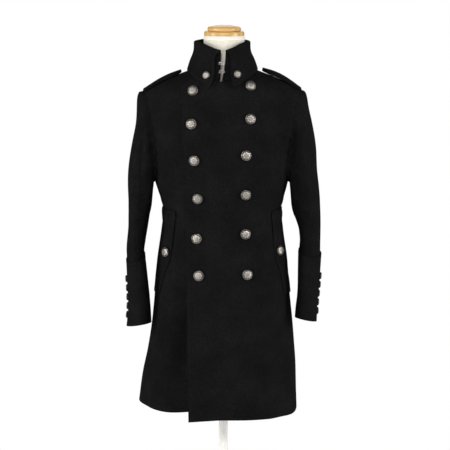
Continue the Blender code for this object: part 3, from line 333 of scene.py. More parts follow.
# Sleeve creases: degrees round from the outer side towards the front, then as above.
SLEEVE_CREASES = {
    "left": table(
        "a0 z0 a1 z1 width height",
        (
            (80, 1.310, 84, 1.070, 0.0095, 0.0060),
            (42, 1.285, 48, 1.100, 0.0120, -0.0034),
            (112, 1.245, 66, 1.300, 0.0110, -0.0024),
            (66, 1.066, 142, 1.050, 0.0080, -0.0030),
            (52, 1.030, 138, 1.022, 0.0085, -0.0034),
            (78, 0.994, 146, 1.002, 0.0080, -0.0026),
            (40, 0.975, 96, 0.962, 0.0100, -0.0018),
            (20, 1.060, 34, 0.900, 0.0120, 0.0018),
            (88, 0.940, 134, 0.925, 0.0090, -0.0020),
            (-60, 1.240, -66, 1.080, 0.0120, -0.0032),
            (-104, 1.120, -40, 1.072, 0.0110, -0.0030),
            (-110, 1.070, -56, 1.020, 0.0110, 0.0026),
            (-112, 1.020, -60, 0.975, 0.0100, -0.0026),
            (-84, 0.960, -76, 0.890, 0.0110, 0.0020),
        ),
    ),
    "right": table(
        "a0 z0 a1 z1 width height",
        (
            (56, 1.300, 60, 1.040, 0.0080, 0.0058),
            (86, 1.265, 92, 1.100, 0.0110, -0.0040),
            (116, 1.235, 72, 1.296, 0.0110, -0.0022),
            (60, 1.078, 136, 1.060, 0.0085, -0.0030),
            (62, 1.042, 146, 1.028, 0.0085, -0.0034),
            (70, 1.006, 132, 1.004, 0.0080, -0.0028),
            (34, 0.985, 84, 0.976, 0.0100, -0.0018),
            (24, 1.040, 30, 0.895, 0.0120, 0.0018),
            (96, 0.952, 140, 0.934, 0.0090, -0.0020),
            (-54, 1.235, -62, 1.090, 0.0120, -0.0032),
            (-110, 1.130, -46, 1.086, 0.0110, -0.0028),
            (-104, 1.064, -50, 1.030, 0.0110, 0.0024),
            (-118, 1.010, -64, 0.985, 0.0100, -0.0026),
            (-80, 0.955, -88, 0.885, 0.0110, 0.0020),
        ),
    ),
}

# Slow unevenness of the cloth: radians a metre round and up, phase, height.
WAVES = table(
    "round up phase height",
    (
        (28.0, 10.0, 0.8, 0.00055),
        (-18.0, 22.0, 3.8, 0.00045),
        (46.0, -14.0, 6.2, 0.00030),
        (62.0, 34.0, 10.4, 0.00022),
        (-86.0, 52.0, 1.6, 0.00015),
    ),
)

# Flat cut of each cloth piece without its seam allowance: width, length and area.
CUTS = {
    "front_left": (0.405, 1.010, 0.328),
    "front_right": (0.420, 0.985, 0.322),
    "back_left": (0.285, 1.000, 0.227),
    "back_right": (0.305, 0.990, 0.232),
    "sleeve_upper_left": (0.240, 0.475, 0.093),
    "sleeve_upper_right": (0.225, 0.485, 0.091),
    "sleeve_under_left": (0.155, 0.360, 0.0375),
    "sleeve_under_right": (0.152, 0.370, 0.0380),
    "cuff_left": (0.330, 0.190, 0.055),
    "cuff_right": (0.310, 0.190, 0.054),
    "collar_stand": (0.430, 0.078, 0.030),
    "collar_fall": (0.530, 0.105, 0.044),
    "epaulette_left": (0.050, 0.120, 0.0056),
    "epaulette_right": (0.049, 0.116, 0.0052),
    "flap_left": (0.077, 0.238, 0.0164),
    "flap_right": (0.083, 0.238, 0.0172),
}
STITCHED = (
    "front_left",
    "collar_fall",
    "collar_stand",
    "epaulette_left",
    "epaulette_right",
    "flap_left",
    "flap_right",
    "cuff_left",
    "cuff_right",
)


def ease(t):
    """0 to 1 as t goes from 0 to 1, with soft ends."""
    t = np.clip(t, 0.0, 1.0)
    return t * t * (3 - 2 * t)


def unit(v):
    return v / np.maximum(np.linalg.norm(v, axis=-1, keepdims=True), 1e-12)


def points_of(mesh):
    found = np.empty(len(mesh.vertices) * 3)
    mesh.vertices.foreach_get("co", found)
    return found.reshape(-1, 3)


def set_points(mesh, points):
    mesh.vertices.foreach_set("co", np.asarray(points, np.float32).ravel())
    mesh.update()


def link(name, data):
    """A new object in the scene."""
    obj = bpy.data.objects.new(name, data)
    bpy.context.scene.collection.objects.link(obj)
    return obj


def evaluated(obj):
    """The object's mesh with its modifiers applied, as a new mesh."""
    bpy.context.view_layer.update()
    graph = bpy.context.evaluated_depsgraph_get()
    return bpy.data.meshes.new_from_object(obj.evaluated_get(graph))


def tree(points):
    made = KDTree(len(points))
    for i, point in enumerate(points):
        made.insert(point, i)
    made.balance()
    return made


def distances(points, near):
    return np.array([near.find(point)[2] for point in points])


def surface_of(mesh):
    faces = [tuple(p.vertices) for p in mesh.polygons]
    return BVHTree.FromPolygons([v.co for v in mesh.vertices], faces)


# Materials


def settle(node, values):
    """Sets a node's inputs by name."""
    for name, value in values.items():
        node.inputs[name].default_value = value


class Look:
    """A material's shader and the nodes that feed it."""

    def __init__(self, name, colour, roughness, metallic=0.0, more=None):
        self.material = bpy.data.materials.new(name)
        self.material.use_nodes = True
        self.nodes = self.material.node_tree.nodes
        self.links = self.material.node_tree.links
        self.shader = self.nodes["Principled BSDF"]
        settle(self.shader, {"Base Color": (*colour, 1.0), "Roughness": roughness})
        settle(self.shader, {"Metallic": metallic, **(more or {})})

    def feed(self, name, source):
        self.links.new(source, self.shader.inputs[name])

    def place(self, stretch=None):
        """Where a point is on its object, stretched for a grain."""
        place = self.nodes.new("ShaderNodeTexCoord").outputs["Object"]
        if stretch is None:
            return place
        node = self.nodes.new("ShaderNodeMapping")
        settle(node, {"Scale": stretch})
        self.links.new(place, node.inputs["Vector"])
        return node.outputs["Vector"]

    def noise(self, place, scale, detail=3.0, roughness=0.55):
        node = self.nodes.new("ShaderNodeTexNoise")
        settle(node, {"Scale": scale, "Detail": detail, "Roughness": roughness})
        self.links.new(place, node.inputs["Vector"])
        return node.outputs["Fac"]

    def ramp(self, source, tones):
        """Colours by position, from a list of (position, colour)."""
        node = self.nodes.new("ShaderNodeValToRGB")
        elements = node.color_ramp.elements
        while len(elements) < len(tones):
            elements.new(0.5)
        for element, (position, colour) in zip(elements, tones):
            element.position = position
            element.color = (*colour, 1.0)
        self.links.new(source, node.inputs["Fac"])
        return node.outputs["Color"]

    def spread(self, source, given, wanted):
        """The source's values from one range to another, each (low, high)."""
        node = self.nodes.new("ShaderNodeMapRange")
        settle(node, dict(zip(("From Min", "From Max", "To Min", "To Max"), (*given, *wanted))))
        self.links.new(source, node.inputs["Value"])
        return node.outputs["Result"]

    def compute(self, operation, *values):
        """A Math node on values that are numbers or other nodes' outputs."""
        node = self.nodes.new("ShaderNodeMath")
        node.operation = operation
        for socket, value in zip(node.inputs, values):
            if isinstance(value, float):
                socket.default_value = value
            else:
                self.links.new(value, socket)
        return node.outputs["Value"]

    def mix(self, kind, blend, share, first, second):
        node = self.nodes.new("ShaderNodeMix")
        node.data_type = kind
        node.blend_type = blend
        settle(node, {"Factor": share})
        self.links.new(first, node.inputs["A"])
        self.links.new(second, node.inputs["B"])
        return node.outputs["Result"]

    def bump(self, height, distance, strength, below=None):
        """Relief of this height on the shader, over the relief below it."""
        node = self.nodes.new("ShaderNodeBump")
        settle(node, {"Distance": distance, "Strength": strength})
        self.links.new(height, node.inputs["Height"])
        if below is not None:
            self.links.new(below, node.inputs["Normal"])
        self.feed("Normal", node.outputs["Normal"])
        return node.outputs["Normal"]


def wool_material():
    """Milled melton: a short felted nap in clumps, with slow changes of tone."""
    nap = {
        "Specular IOR Level": 0.004,
        "Sheen Weight": 0.004,
        "Sheen Roughness": 0.55,
        "Sheen Tint": (0.75, 0.75, 0.8, 1.0),
    }
    look = Look("melton_wool", (0.009, 0.009, 0.010), roughness=0.92, more=nap)
    place = look.place()
    fibres = look.noise(place, scale=1300.0, detail=4.0, roughness=0.65)
    clumps = look.noise(place, scale=260.0, roughness=0.6)
    drift = look.noise(place, scale=16.0, roughness=0.5)
    look.feed("Base Color", look.ramp(look.mix("FLOAT", "MIX", 0.35, clumps, drift), WOOL_TONES))
    coarse = look.bump(clumps, distance=0.0011, strength=0.55)
    look.bump(fibres, distance=0.0005, strength=0.75, below=coarse)
    look.feed("Roughness", look.spread(clumps, (0.3, 0.7), (0.86, 0.98)))
    return look.material


def thread_material(name, colour):
    """Twisted thread."""
    look = Look(name, colour, roughness=0.8, more={"Specular IOR Level": 0.15})
    twist = look.noise(look.place((900.0, 900.0, 2600.0)), scale=1.0, detail=2.0)
    look.bump(twist, distance=0.0001, strength=0.6)
    return look.material


def silver_material():
    """Antique silver: dark in the hollows of the relief, rubbed bright on its heights."""
    look = Look("antique_silver", (0.34, 0.32, 0.29), roughness=0.36, metallic=1.0)
    relief = look.nodes.new("ShaderNodeAttribute")
    relief.attribute_name = "relief"
    place = look.place()
    stain = look.noise(place, scale=420.0)
    worn = look.compute("MULTIPLY_ADD", stain, 0.30, relief.outputs["Fac"])
    look.feed("Base Color", look.ramp(worn, SILVER_TONES))
    look.feed("Roughness", look.spread(worn, (0.2, 0.9), (0.52, 0.32)))
    look.bump(look.noise(place, scale=1500.0, detail=2.0), distance=0.00008, strength=0.5)
    return look.material


def linen_material():
    """Plain woven linen: threads both ways round the form, with slubs, on the cloth's own map."""
    fuzz = {"Sheen Weight": 0.15, "Sheen Roughness": 0.5}
    look = Look("linen", (0.66, 0.58, 0.46), roughness=0.85, more=fuzz)
    cut = look.nodes.new("ShaderNodeUVMap")
    cut.uv_map = "cloth"
    parts = look.nodes.new("ShaderNodeSeparateXYZ")
    look.links.new(cut.outputs["UV"], parts.inputs[0])
    waves = []
    for axis in (0, 1):
        turns = look.compute("MULTIPLY", parts.outputs[axis], 2 * math.pi / WEAVE_PITCH)
        waves.append(look.compute("SINE", turns))
    weave = look.compute("MULTIPLY", *waves)
    slubs = look.noise(look.place((260.0, 260.0, 40.0)), scale=1.0)
    height = look.nodes.new("ShaderNodeSeparateXYZ")
    look.links.new(look.place(), height.inputs[0])
    # Painted shade: the linen's colour is darkened by height inside the collar.
    painted_collar_shade = look.spread(height.outputs["Z"], COLLAR_SHADE_HEIGHTS, COLLAR_SHADE_SHARES)
    look.feed("Base Color", look.mix("RGBA", "MULTIPLY", 1.0, look.ramp(slubs, LINEN_TONES), painted_collar_shade))
    under = look.bump(slubs, distance=0.0004, strength=0.4)
    look.bump(weave, distance=0.00015, strength=0.7, below=under)
    return look.material


def wood_material():
    """Turned light wood: long grain across the discs, with fine pores, waxed."""
    wax = {"Coat Weight": 0.06, "Coat Roughness": 0.3}
    look = Look("turned_wood", (0.62, 0.38, 0.19), roughness=0.42, more=wax)
    grain = look.noise(look.place((9.0, 120.0, 90.0)), scale=1.0, detail=5.0, roughness=0.6)
    pores = look.noise(look.place((60.0, 900.0, 700.0)), scale=1.0, detail=2.0)
    look.feed("Base Color", look.ramp(grain, WOOD_TONES))
    look.feed("Roughness", look.spread(grain, (0.3, 0.7), (0.5, 0.36)))
    look.bump(pores, distance=0.0001, strength=0.6)
    return look.material


def paint_material():
    """Satin cream paint with a slight orange peel and faint dust."""
    gloss = {"Coat Weight": 0.3, "Coat Roughness": 0.2}
    look = Look("cream_paint", (0.80, 0.78, 0.73), roughness=0.4, more=gloss)
    place = look.place()
    dust = look.noise(place, scale=30.0, detail=4.0)
    look.feed("Base Color", look.ramp(dust, PAINT_TONES))
    look.feed("Roughness", look.spread(dust, (0.3, 0.7), (0.34, 0.5)))
    look.bump(look.noise(place, scale=260.0, detail=2.0), distance=0.0002, strength=0.3)
    return look.material


def steel_material():
    """Bright wire with smudges."""
    look = Look("hook_steel", (0.60, 0.60, 0.60), roughness=0.28, metallic=1.0)
    smudge = look.noise(look.place(), scale=900.0)
    look.feed("Base Color", look.ramp(smudge, STEEL_TONES))
    look.feed("Roughness", look.spread(smudge, (0.3, 0.7), (0.22, 0.38)))
    return look.material


WOOL = wool_material()
THREAD = thread_material("black_thread", THREAD_COLOUR)
SILVER = silver_material()
LINEN = linen_material()
TAPE = thread_material("cotton_tape", TAPE_COLOUR)
WOOD = wood_material()
PAINT = paint_material()
STEEL = steel_material()


# Cloth


def cage_of(node):
    """The node's wall as a mesh of merged points and mostly four-sided faces."""
    bm = bmesh.new()
    bm.from_mesh(NODES[node].data)
    bmesh.ops.remove_doubles(bm, verts=bm.verts, dist=MERGE)
    for angle in JOIN_ANGLES:
        bmesh.ops.join_triangles(
            bm,
            faces=bm.faces[:],
            angle_face_threshold=angle,
            angle_shape_threshold=angle * JOIN_SHAPE,
        )
    return bm


def corners_of(bm):
    """The edges where a wall turns from a face to its rim."""
    return [e for e in bm.edges if len(e.link_faces) == 2 and e.calc_face_angle(0.0) > CORNER]


def border_points(node):
    """The points along the rims of a node's wall."""
    bm = cage_of(node)
    found = {tuple(v.co) for e in corners_of(bm) for v in e.verts}
    bm.free()
    return np.array(sorted(found))


def other_borders(node):
    """The borders of all the cloth but this piece, to look for seams."""
    return tree(np.concatenate([points for name, points in BORDERS.items() if name != node]))


def subdivided(cage, levels):
    """The cage's smooth surface, through the cage's own points."""
    obj = link("smoothing", cage)
    modifier = obj.modifiers.new("Smooth", "SUBSURF")
    modifier.levels = levels
    modifier.render_levels = levels
    wanted = points_of(cage)
    for _ in range(FIT_ROUNDS):
        made = evaluated(obj)
        got = points_of(made)[: len(wanted)]
        bpy.data.meshes.remove(made)
        set_points(cage, points_of(cage) + wanted - got)
    made = evaluated(obj)
    bpy.data.objects.remove(obj)
    return made


def close_seams(rim_points, seams):
    """Draws a wall's sewn edges almost to the middle of their seams."""
    for v in rim_points:
        other, _, gap = seams.find(v.co)
        if gap < SEAM_REACH:
            v.co = v.co.lerp(other, SEAM_CLOSED)


def smooth_wall(node, seams, levels):
    """A wall's smooth mesh, with bevel weights on its corners: 1 on free edges, less on seams."""
    bm = cage_of(node)
    crease = bm.edges.layers.float.new("crease_edge")
    weight = bm.edges.layers.float.new("bevel_weight_edge")
    rims = corners_of(bm)
    for e in rims:
        e[crease] = 1.0
        sewn = seams is not None and all(seams.find(v.co)[2] < SEAM_REACH for v in e.verts)
        e[weight] = SEAM_ROUND / FREE_EDGE_ROUND if sewn else 1.0
    if seams is not None:
        close_seams({v for e in rims for v in e.verts}, seams)
    cage = bpy.data.meshes.new(node)
    bm.to_mesh(cage)
    bm.free()
    return subdivided(cage, levels)


def crease_heights(across, up, rows, first, last):
    """Height of all the creases of a table at each point, on a flat layout of across and up."""
    total = np.zeros(len(across))
    for k in range(len(rows["z0"])):
        start = np.array((rows[first][k], rows["z0"][k]))
        end = np.array((rows[last][k], rows["z1"][k]))
        run = end - start
        length = np.linalg.norm(run)
        share = ((across - start[0]) * run[0] + (up - start[1]) * run[1]) / length**2
        aside = ((across - start[0]) * run[1] - (up - start[1]) * run[0]) / length
        aside = aside + WANDER * rows["width"][k] * np.sin(share * WANDER_RATE + k * WANDER_PHASE)
        beyond = np.maximum(np.maximum(-share, share - 1.0), 0.0) * length
        near = (aside**2 + beyond**2) / rows["width"][k] ** 2
        taper = END_HEIGHT + (1 - END_HEIGHT) * ease(END_FROM - np.abs(2 * share - 1))
        total += rows["height"][k] * np.exp(-near) * taper
    return total


def wave_heights(across, up):
    total = np.zeros(len(across))
    for k in range(len(WAVES["height"])):
        turn = WAVES["round"][k] * across + WAVES["up"][k] * up + WAVES["phase"][k]
        total += WAVES["height"][k] * np.sin(turn)
    return total


def armhole_push(points):
    """How far the cloth sinks beside the armhole, before and behind the arm."""
    y, z = points[:, 1], points[:, 2]
    near = np.exp(-((distances(points, ARMHOLES) / DIP_REACH) ** 2))
    high = ease((DIP_TOP - z) / DIP_FADE) * ease((z - DIP_FOOT) / DIP_FADE)
    moved = np.zeros_like(points)
    moved[:, 1] = -np.sign(y) * DIP_DEPTH * near * high * ease(np.abs(y) / DIP_FADE)
    return moved


def across_body(points):
    """Distance round the body from the middle of the front."""
    return GIRTH_RADIUS * np.arctan2(points[:, 0], -points[:, 1] * BODY_HALF[0] / BODY_HALF[1])


def out_of_body(points):
    """The level way out of the body at each point."""
    return unit(np.concatenate((points[:, :2] / BODY_HALF**2, np.zeros((len(points), 1))), axis=1))


def body_push(points):
    """How far the creases move each point of the coat's body."""
    across = across_body(points)
    z = points[:, 2]
    heights = crease_heights(across, z, BODY_CREASES, "u0", "u1") + wave_heights(across, z)
    top_fade = ease((CREASES_TOP - z) / CREASES_FADE)
    heights *= ease(distances(points, ARMHOLES) / ARMHOLE_FADE) * top_fade
    return out_of_body(points) * heights[:, None] + armhole_push(points)


def under_push(points):
    """How far the under front falls back below the over front's edge."""
    heights = crease_heights(across_body(points), points[:, 2], UNDER_CREASES, "u0", "u1")
    return out_of_body(points) * heights[:, None]


def sleeve_axis(word):
    """The sleeve's middle line, as curves of X and Y by height."""
    names = (f"sleeve_upper_{word}", f"sleeve_under_{word}", f"cuff_{word}")
    points = np.concatenate([points_of(NODES[name].data) for name in names])
    edges = np.linspace(points[:, 2].min(), points[:, 2].max(), AXIS_BINS + 1)
    rows = []
    for low, high in zip(edges[:-1], edges[1:]):
        inside = points[(points[:, 2] >= low) & (points[:, 2] <= high)]
        rows.append((*(inside.min(axis=0)[:2] + inside.max(axis=0)[:2]) / 2, (low + high) / 2))
    x, y, z = np.array(rows).T
    return np.polyfit(z, x, AXIS_DEGREE), np.polyfit(z, y, AXIS_DEGREE)


def sleeve_push(points, word):
    """How far the creases move each point of a sleeve."""
    side = SIDES[word]
    axis_x, axis_y = SLEEVE_AXES[word]
    x, y, z = points.T
    dx = side * (x - np.polyval(axis_x, z)) / SLEEVE_HALF[0]
    dy = -(y - np.polyval(axis_y, z)) / SLEEVE_HALF[1]
    angle = np.degrees(np.arctan2(dy, dx))
    per_degree = math.radians(SLEEVE_HALF.mean())
    rows = dict(SLEEVE_CREASES[word])
    rows["a0"] = rows["a0"] * per_degree
    rows["a1"] = rows["a1"] * per_degree
    across = angle * per_degree
    heights = crease_heights(across, z, rows, "a0", "a1") + wave_heights(across, z)
    heights *= ease(distances(points, ARMHOLES) / ARMHOLE_FADE)
    way = np.stack((side * dx / SLEEVE_HALF[0], -dy / SLEEVE_HALF[1], np.zeros(len(x))), axis=1)
    return unit(way) * heights[:, None] + armhole_push(points)


def push(node, points):
    """How far the creases move points of a piece, or of what sits on it."""
    if node.startswith(("sleeve", "cuff", "button_cuff")):
        return sleeve_push(points, "left" if "left" in node else "right")
    if node == "front_right":
        return body_push(points) + under_push(points)
    if node.startswith(("front", "back", "flap", "button_left", "button_right", "button_flap")):
        return body_push(points)
    return np.zeros_like(points)


def declare(obj, slot, *nodes):
    """Sets a piece to ride on the one body, and hides the nodes it stands for. The slot is not used.
    """
    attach(obj, "root")
    if nodes:
        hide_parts(*nodes)
    return obj


def finish_piece(name, mesh, material, slot, *nodes):
    mesh.materials.append(material)
    return declare(link(name, mesh), slot, *nodes)


def rounded(mesh, width):
    """The mesh with its weighted corners rounded."""
    obj = link("rounding", mesh)
    modifier = obj.modifiers.new("Round", "BEVEL")
    modifier.limit_method = "WEIGHT"
    modifier.width = width
    modifier.segments = ROUND_STEPS
    modifier.use_clamp_overlap = True
    made = evaluated(obj)
    bpy.data.objects.remove(obj)
    made.shade_smooth()
    made.set_sharp_from_angle(angle=SMOOTH_ANGLE)
    return made


def cloth_piece(node):
    """A cloth piece, smooth and creased. Its surface is kept for the sewing."""
    levels = LARGE_LEVELS if node.startswith(LARGE) else SMALL_LEVELS
    mesh = smooth_wall(node, other_borders(node), levels)
    points = points_of(mesh)
    set_points(mesh, points + push(node, points))
    made = rounded(mesh, FREE_EDGE_ROUND)
    TREES[node] = surface_of(made)
    return finish_piece(f"{node}_cloth", made, WOOL, "wool", node)


CLOTH = list(CUTS)
BORDERS = {node: border_points(node) for node in CLOTH}
BODY_BORDERS = tree(np.concatenate([BORDERS[n] for n in CLOTH if n.startswith(("front", "back"))]))
SLEEVE_BORDERS = np.concatenate([BORDERS[n] for n in CLOTH if n.startswith("sleeve")])
ARMHOLES = tree([p for p in SLEEVE_BORDERS if BODY_BORDERS.find(p)[2] < ARMHOLE_REACH])
SLEEVE_AXES = {word: sleeve_axis(word) for word in SIDES}
TREES = {}
PIECES = {node: cloth_piece(node) for node in CLOTH}


# Sewing


def free_loops(node):
    """The piece's outer border as lines of points, without its seams and hem."""
    bm = cage_of(node)
    others = other_borders(node)
    picked = {}
    for e in corners_of(bm):
        if all(others.find(v.co)[2] < SEAM_REACH for v in e.verts):
            continue
        if node.startswith("front") and all(v.co.z < FRONT_HEM_TOP for v in e.verts):
            continue
        if node.startswith("cuff") and all(v.co.z < CUFF_HEM_TOP for v in e.verts):
            continue
        picked[e.index] = e
    bm.verts.ensure_lookup_table()
    beside = {}
    for e in picked.values():
        for v in e.verts:
            beside.setdefault(v.index, []).append(e.other_vert(v).index)
    lines = []
    used = set()
    starts = [v for v in beside if len(beside[v]) == 1] + list(beside)
    for start in starts:
        if start in used:
            continue
        line = [start]
        used.add(start)
        while True:
            following = [v for v in beside[line[-1]] if v not in used]
            if not following:
                break
            line.append(following[0])
            used.add(following[0])
        closed = len(line) > 3 and line[0] in beside[line[-1]]
        if closed:
            line.append(line[0])
        if len(line) > 2:
            lines.append(np.array([bm.verts[v].co for v in line]))
    bm.free()
    return lines


def resampled(line, pitch):
    """Points along a line, one to each pitch."""
    steps = np.linalg.norm(np.diff(line, axis=0), axis=1)
    along = np.concatenate(((0.0,), np.cumsum(steps)))
    at = np.arange(pitch / 2, along[-1], pitch)
    return np.stack([np.interp(at, along, line[:, k]) for k in range(3)], axis=1)


def outward(node, points):
    """The way out of the wall's outer face near these points."""
    if node.startswith(("sleeve", "cuff")):
        word = "left" if "left" in node else "right"
        axis_x, axis_y = SLEEVE_AXES[word]
        z = points[:, 2]
        centre = np.stack((np.polyval(axis_x, z), np.polyval(axis_y, z)), axis=1)
        flat = (points[:, :2] - centre) / SLEEVE_HALF**2
    elif node.startswith("epaulette"):
        return np.tile(UP, (len(points), 1))
    else:
        flat = points[:, :2] / BODY_HALF**2
    return unit(np.concatenate((flat, np.zeros((len(points), 1))), axis=1))


def stitch_rings(middle, way, normal):
    """A short thread lying on the cloth, as rings of points that narrow at its ends."""
    side = unit(np.cross(way, normal))
    rings = []
    for share, size in STITCH_RINGS:
        centre = middle + way * STITCH_LENGTH * share
        angles = np.arange(STITCH_SIDES) * 2 * math.pi / STITCH_SIDES
        spokes = np.outer(np.cos(angles), side) + np.outer(np.sin(angles), normal)
        rings.append(centre + spokes * STITCH_RADIUS * size)
    return rings


def mesh_of_rings(name, tubes):
    """One mesh of many short tubes, each a list of rings of points, closed at both ends."""
    points = []
    faces = []
    for rings in tubes:
        count = len(rings[0])
        start = len(points)
        for ring in rings:
            points.extend(ring)
        for r in range(len(rings) - 1):
            for k in range(count):
                a = start + r * count + k
                b = start + r * count + (k + 1) % count
                faces.append((a, b, b + count, a + count))
        faces.append(tuple(range(start + count - 1, start - 1, -1)))
        last = start + (len(rings) - 1) * count
        faces.append(tuple(range(last, last + count)))
    mesh = bpy.data.meshes.new(name)
    mesh.from_pydata([tuple(p) for p in points], [], faces)
    mesh.shade_smooth()
    return mesh


def stitch_place(node, border, point, way, out):
    """The place beside a border point where the cloth takes a stitch, and its normal there."""
    for sign in (1, -1):
        inward = unit(np.cross(out, way)) * sign
        aim = point + inward * STITCH_INSET
        place, normal, _, gap = TREES[node].find_nearest(Vector(aim + out * STITCH_FROM))
        if place is None or gap > STITCH_REACH:
            continue
        place = np.array(place)
        normal = np.array(normal)
        if normal @ out < STITCH_FACING or np.linalg.norm(place - point) < STITCH_CLEAR:
            continue
        if border.find(place)[2] < STITCH_EDGE:
            continue
        return place, normal
    return None


def sew(node):
    """A row of stitches a little inside the piece's free edges."""
    tubes = []
    border = tree(BORDERS[node] + push(node, BORDERS[node]))
    for line in free_loops(node):
        dense = resampled(line, STITCH_PITCH)
        if len(dense) < LEAST_STITCHES:
            continue
        dense = dense + push(node, dense)
        ways = unit(np.gradient(dense, axis=0))
        for point, way, out in zip(dense, ways, outward(node, dense)):
            found = stitch_place(node, border, point, way, out)
            if found is not None:
                place, normal = found
                middle = place + normal * STITCH_RADIUS * STITCH_RISE
                tubes.append(stitch_rings(middle, way, normal))
    name = f"{node}_stitches"
    return finish_piece(name, mesh_of_rings(name, tubes), THREAD, "wool")


SEWN = {node: sew(node) for node in STITCHED}


# Buttons


def ridge(r, place, half_width, height):
    return height * np.exp(-(((r - place) / half_width) ** 2))


def petals(r, angle, start, reach, height, wave):
    """A ring of rounded petals that starts at this radius and reaches so far."""
    along = np.clip(np.sin(math.pi * np.clip((r - start) / reach, 0, 1)), 0, 1)
    return height * along * np.abs(wave(PETAL_TURNS * angle)) ** PETAL_ROUND


def button_height(r, angle):
    """Height of the button's face and of its relief, in radii: a rosette on a dome inside a rim."""
    dome = DOME_HEIGHT + DOME_RISE * (1 - (r / DOME_EDGE) ** 2)
    rosette = np.maximum(*[petals(r, angle, *ring) for ring in PETALS])
    boss = BOSS_HEIGHT * np.sqrt(np.clip(1 - (r / BOSS_RADIUS) ** 2, 0, 1))
    relief = rosette + boss + ridge(r, *RIM) + ridge(r, *GROOVE)
    fall = ease((1.0 - r) / BUTTON_FALL)
    return BUTTON_SIDE + (dome + relief - BUTTON_SIDE) * fall, relief * fall


def button_mesh(name, radius):
    """A button with its foot at the origin, as rings round its axis. Its relief guides its tones."""
    angles = np.arange(BUTTON_SPOKES) * 2 * math.pi / BUTTON_SPOKES
    shares = np.concatenate((np.linspace(*BUTTON_FACE), np.linspace(*BUTTON_EDGE)))
    points = [(0.0, 0.0, float(button_height(np.array(0.0), np.array(0.0))[0]))]
    relief = [BOSS_HEIGHT]
    for share in shares:
        heights, raised = button_height(np.full(BUTTON_SPOKES, share), angles)
        points += list(zip(share * np.cos(angles), share * np.sin(angles), heights))
        relief += list(raised)
    for share, height in BUTTON_BACK:
        points += [(share * math.cos(a), share * math.sin(a), height) for a in angles]
        relief += [0.0] * BUTTON_SPOKES
    points.append((0.0, 0.0, 0.0))
    relief.append(0.0)
    rings = len(shares) + len(BUTTON_BACK)
    faces = [(0, 1 + k, 1 + (k + 1) % BUTTON_SPOKES) for k in range(BUTTON_SPOKES)]
    for r in range(rings - 1):
        for k in range(BUTTON_SPOKES):
            a = 1 + r * BUTTON_SPOKES + k
            b = 1 + r * BUTTON_SPOKES + (k + 1) % BUTTON_SPOKES
            faces.append((a, a + BUTTON_SPOKES, b + BUTTON_SPOKES, b))
    last = 1 + (rings - 1) * BUTTON_SPOKES
    end = len(points) - 1
    faces += [(last + k, end, last + (k + 1) % BUTTON_SPOKES) for k in range(BUTTON_SPOKES)]
    mesh = bpy.data.meshes.new(name)
    mesh.from_pydata([tuple(float(c) * radius for c in p) for p in points], [], faces)
    values = mesh.attributes.new("relief", "FLOAT", "POINT")
    shown = np.clip(np.array(relief) / RELIEF_TOP, 0, 1)
    values.data.foreach_set("value", shown.astype(np.float32))
    mesh.shade_smooth()
    mesh.set_sharp_from_angle(angle=BUTTON_SHARP)
    mesh.materials.append(SILVER)
    return mesh


def button_frame(node):
    """Foot, axis and radius of a button, from its node's own points."""
    points = np.unique(np.round(points_of(NODES[node].data), 6), axis=0)
    middle = points.mean(axis=0)
    axis = np.linalg.svd(points - middle)[2][2]
    heights = (points - middle) @ axis
    wide = np.linalg.norm(points - middle - np.outer(heights, axis), axis=1)
    if heights[np.argmin(wide)] < 0 and abs(heights.min()) > abs(heights.max()):
        axis = -axis
        heights = -heights
    rim = heights[np.argmax(wide)]
    if heights.max() - rim < rim - heights.min():
        axis = -axis
        heights = -heights
    return middle + axis * heights.min(), axis, wide.max()


def place_button(node, shared):
    """A button in its node's place, moved with the cloth. Buttons of one size share a mesh."""
    foot, axis, radius = button_frame(node)
    size = "large" if radius > LARGE_BUTTON else "small"
    if size not in shared:
        shared[size] = button_mesh(f"button_{size}", round(float(radius), 4))
    foot = foot + push(node, foot[None])[0]
    obj = link(f"{node}_metal", shared[size])
    turn = Vector((0, 0, 1)).rotation_difference(Vector(axis)).to_matrix().to_4x4()
    obj.matrix_world = Matrix.Translation(Vector(foot)) @ turn
    declare(obj, "button_metal", node)


BUTTON_MESHES = {}
for node in sorted(NODES):
    if node.startswith("button"):
        place_button(node, BUTTON_MESHES)


# Form, stand and hooks


def turned_mesh(name, profile, centre):
    """A turned piece from (radius, height) pairs, from the top of its axis to the foot."""
    angles = np.arange(TURN_STEPS) * 2 * math.pi / TURN_STEPS
    rings = []
    for radius, height in profile:
        flat = (radius * np.cos(angles), radius * np.sin(angles), np.full(TURN_STEPS, height))
        rings.append(np.stack(flat, axis=1) + (centre[0], centre[1], 0.0))
    mesh = mesh_of_rings(name, [rings[::-1]])
    mesh.set_sharp_from_angle(angle=SMOOTH_ANGLE)
    return mesh


def turned_piece(name, node, shares, material, slot):
    """A turned piece in its node's box, from a profile in shares of its radius and height."""
    low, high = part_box(node)
    centre = (low + high) / 2
    radius = (high.x - low.x) / 2
    profile = [(max(r, AXIS_SHARE) * radius, low.z + z * (high.z - low.z)) for r, z in shares]
    finish_piece(name, turned_mesh(name, profile, centre), material, slot, node)


def cap_lower_shares():
    """The lower cap's profile: a disc, its rim rounded at top and foot."""
    turns = [math.pi / 2 * k / CAP_LOWER_STEPS for k in range(CAP_LOWER_STEPS + 1)]
    wide, high = CAP_LOWER_TOP
    top = [(1 - wide + wide * math.sin(turn), 1 - high * (1 - math.cos(turn))) for turn in turns]
    wide, high = CAP_LOWER_FOOT
    foot = [(1 - wide * (1 - math.cos(turn)), high * (1 - math.sin(turn))) for turn in turns]
    return [*CAP_LOWER_MIDDLE, *top, *foot, (0.0, 0.0)]


turned_piece("cap_upper_wood", "cap_upper", CAP_UPPER_SHARES, WOOD, "wood")
turned_piece("cap_lower_wood", "cap_lower", cap_lower_shares(), WOOD, "wood")
turned_piece("stand_pole_painted", "stand_pole", POLE_SHARES, PAINT, "stand_paint")
turned_piece("stand_base_painted", "stand_base", BASE_SHARES, PAINT, "stand_paint")


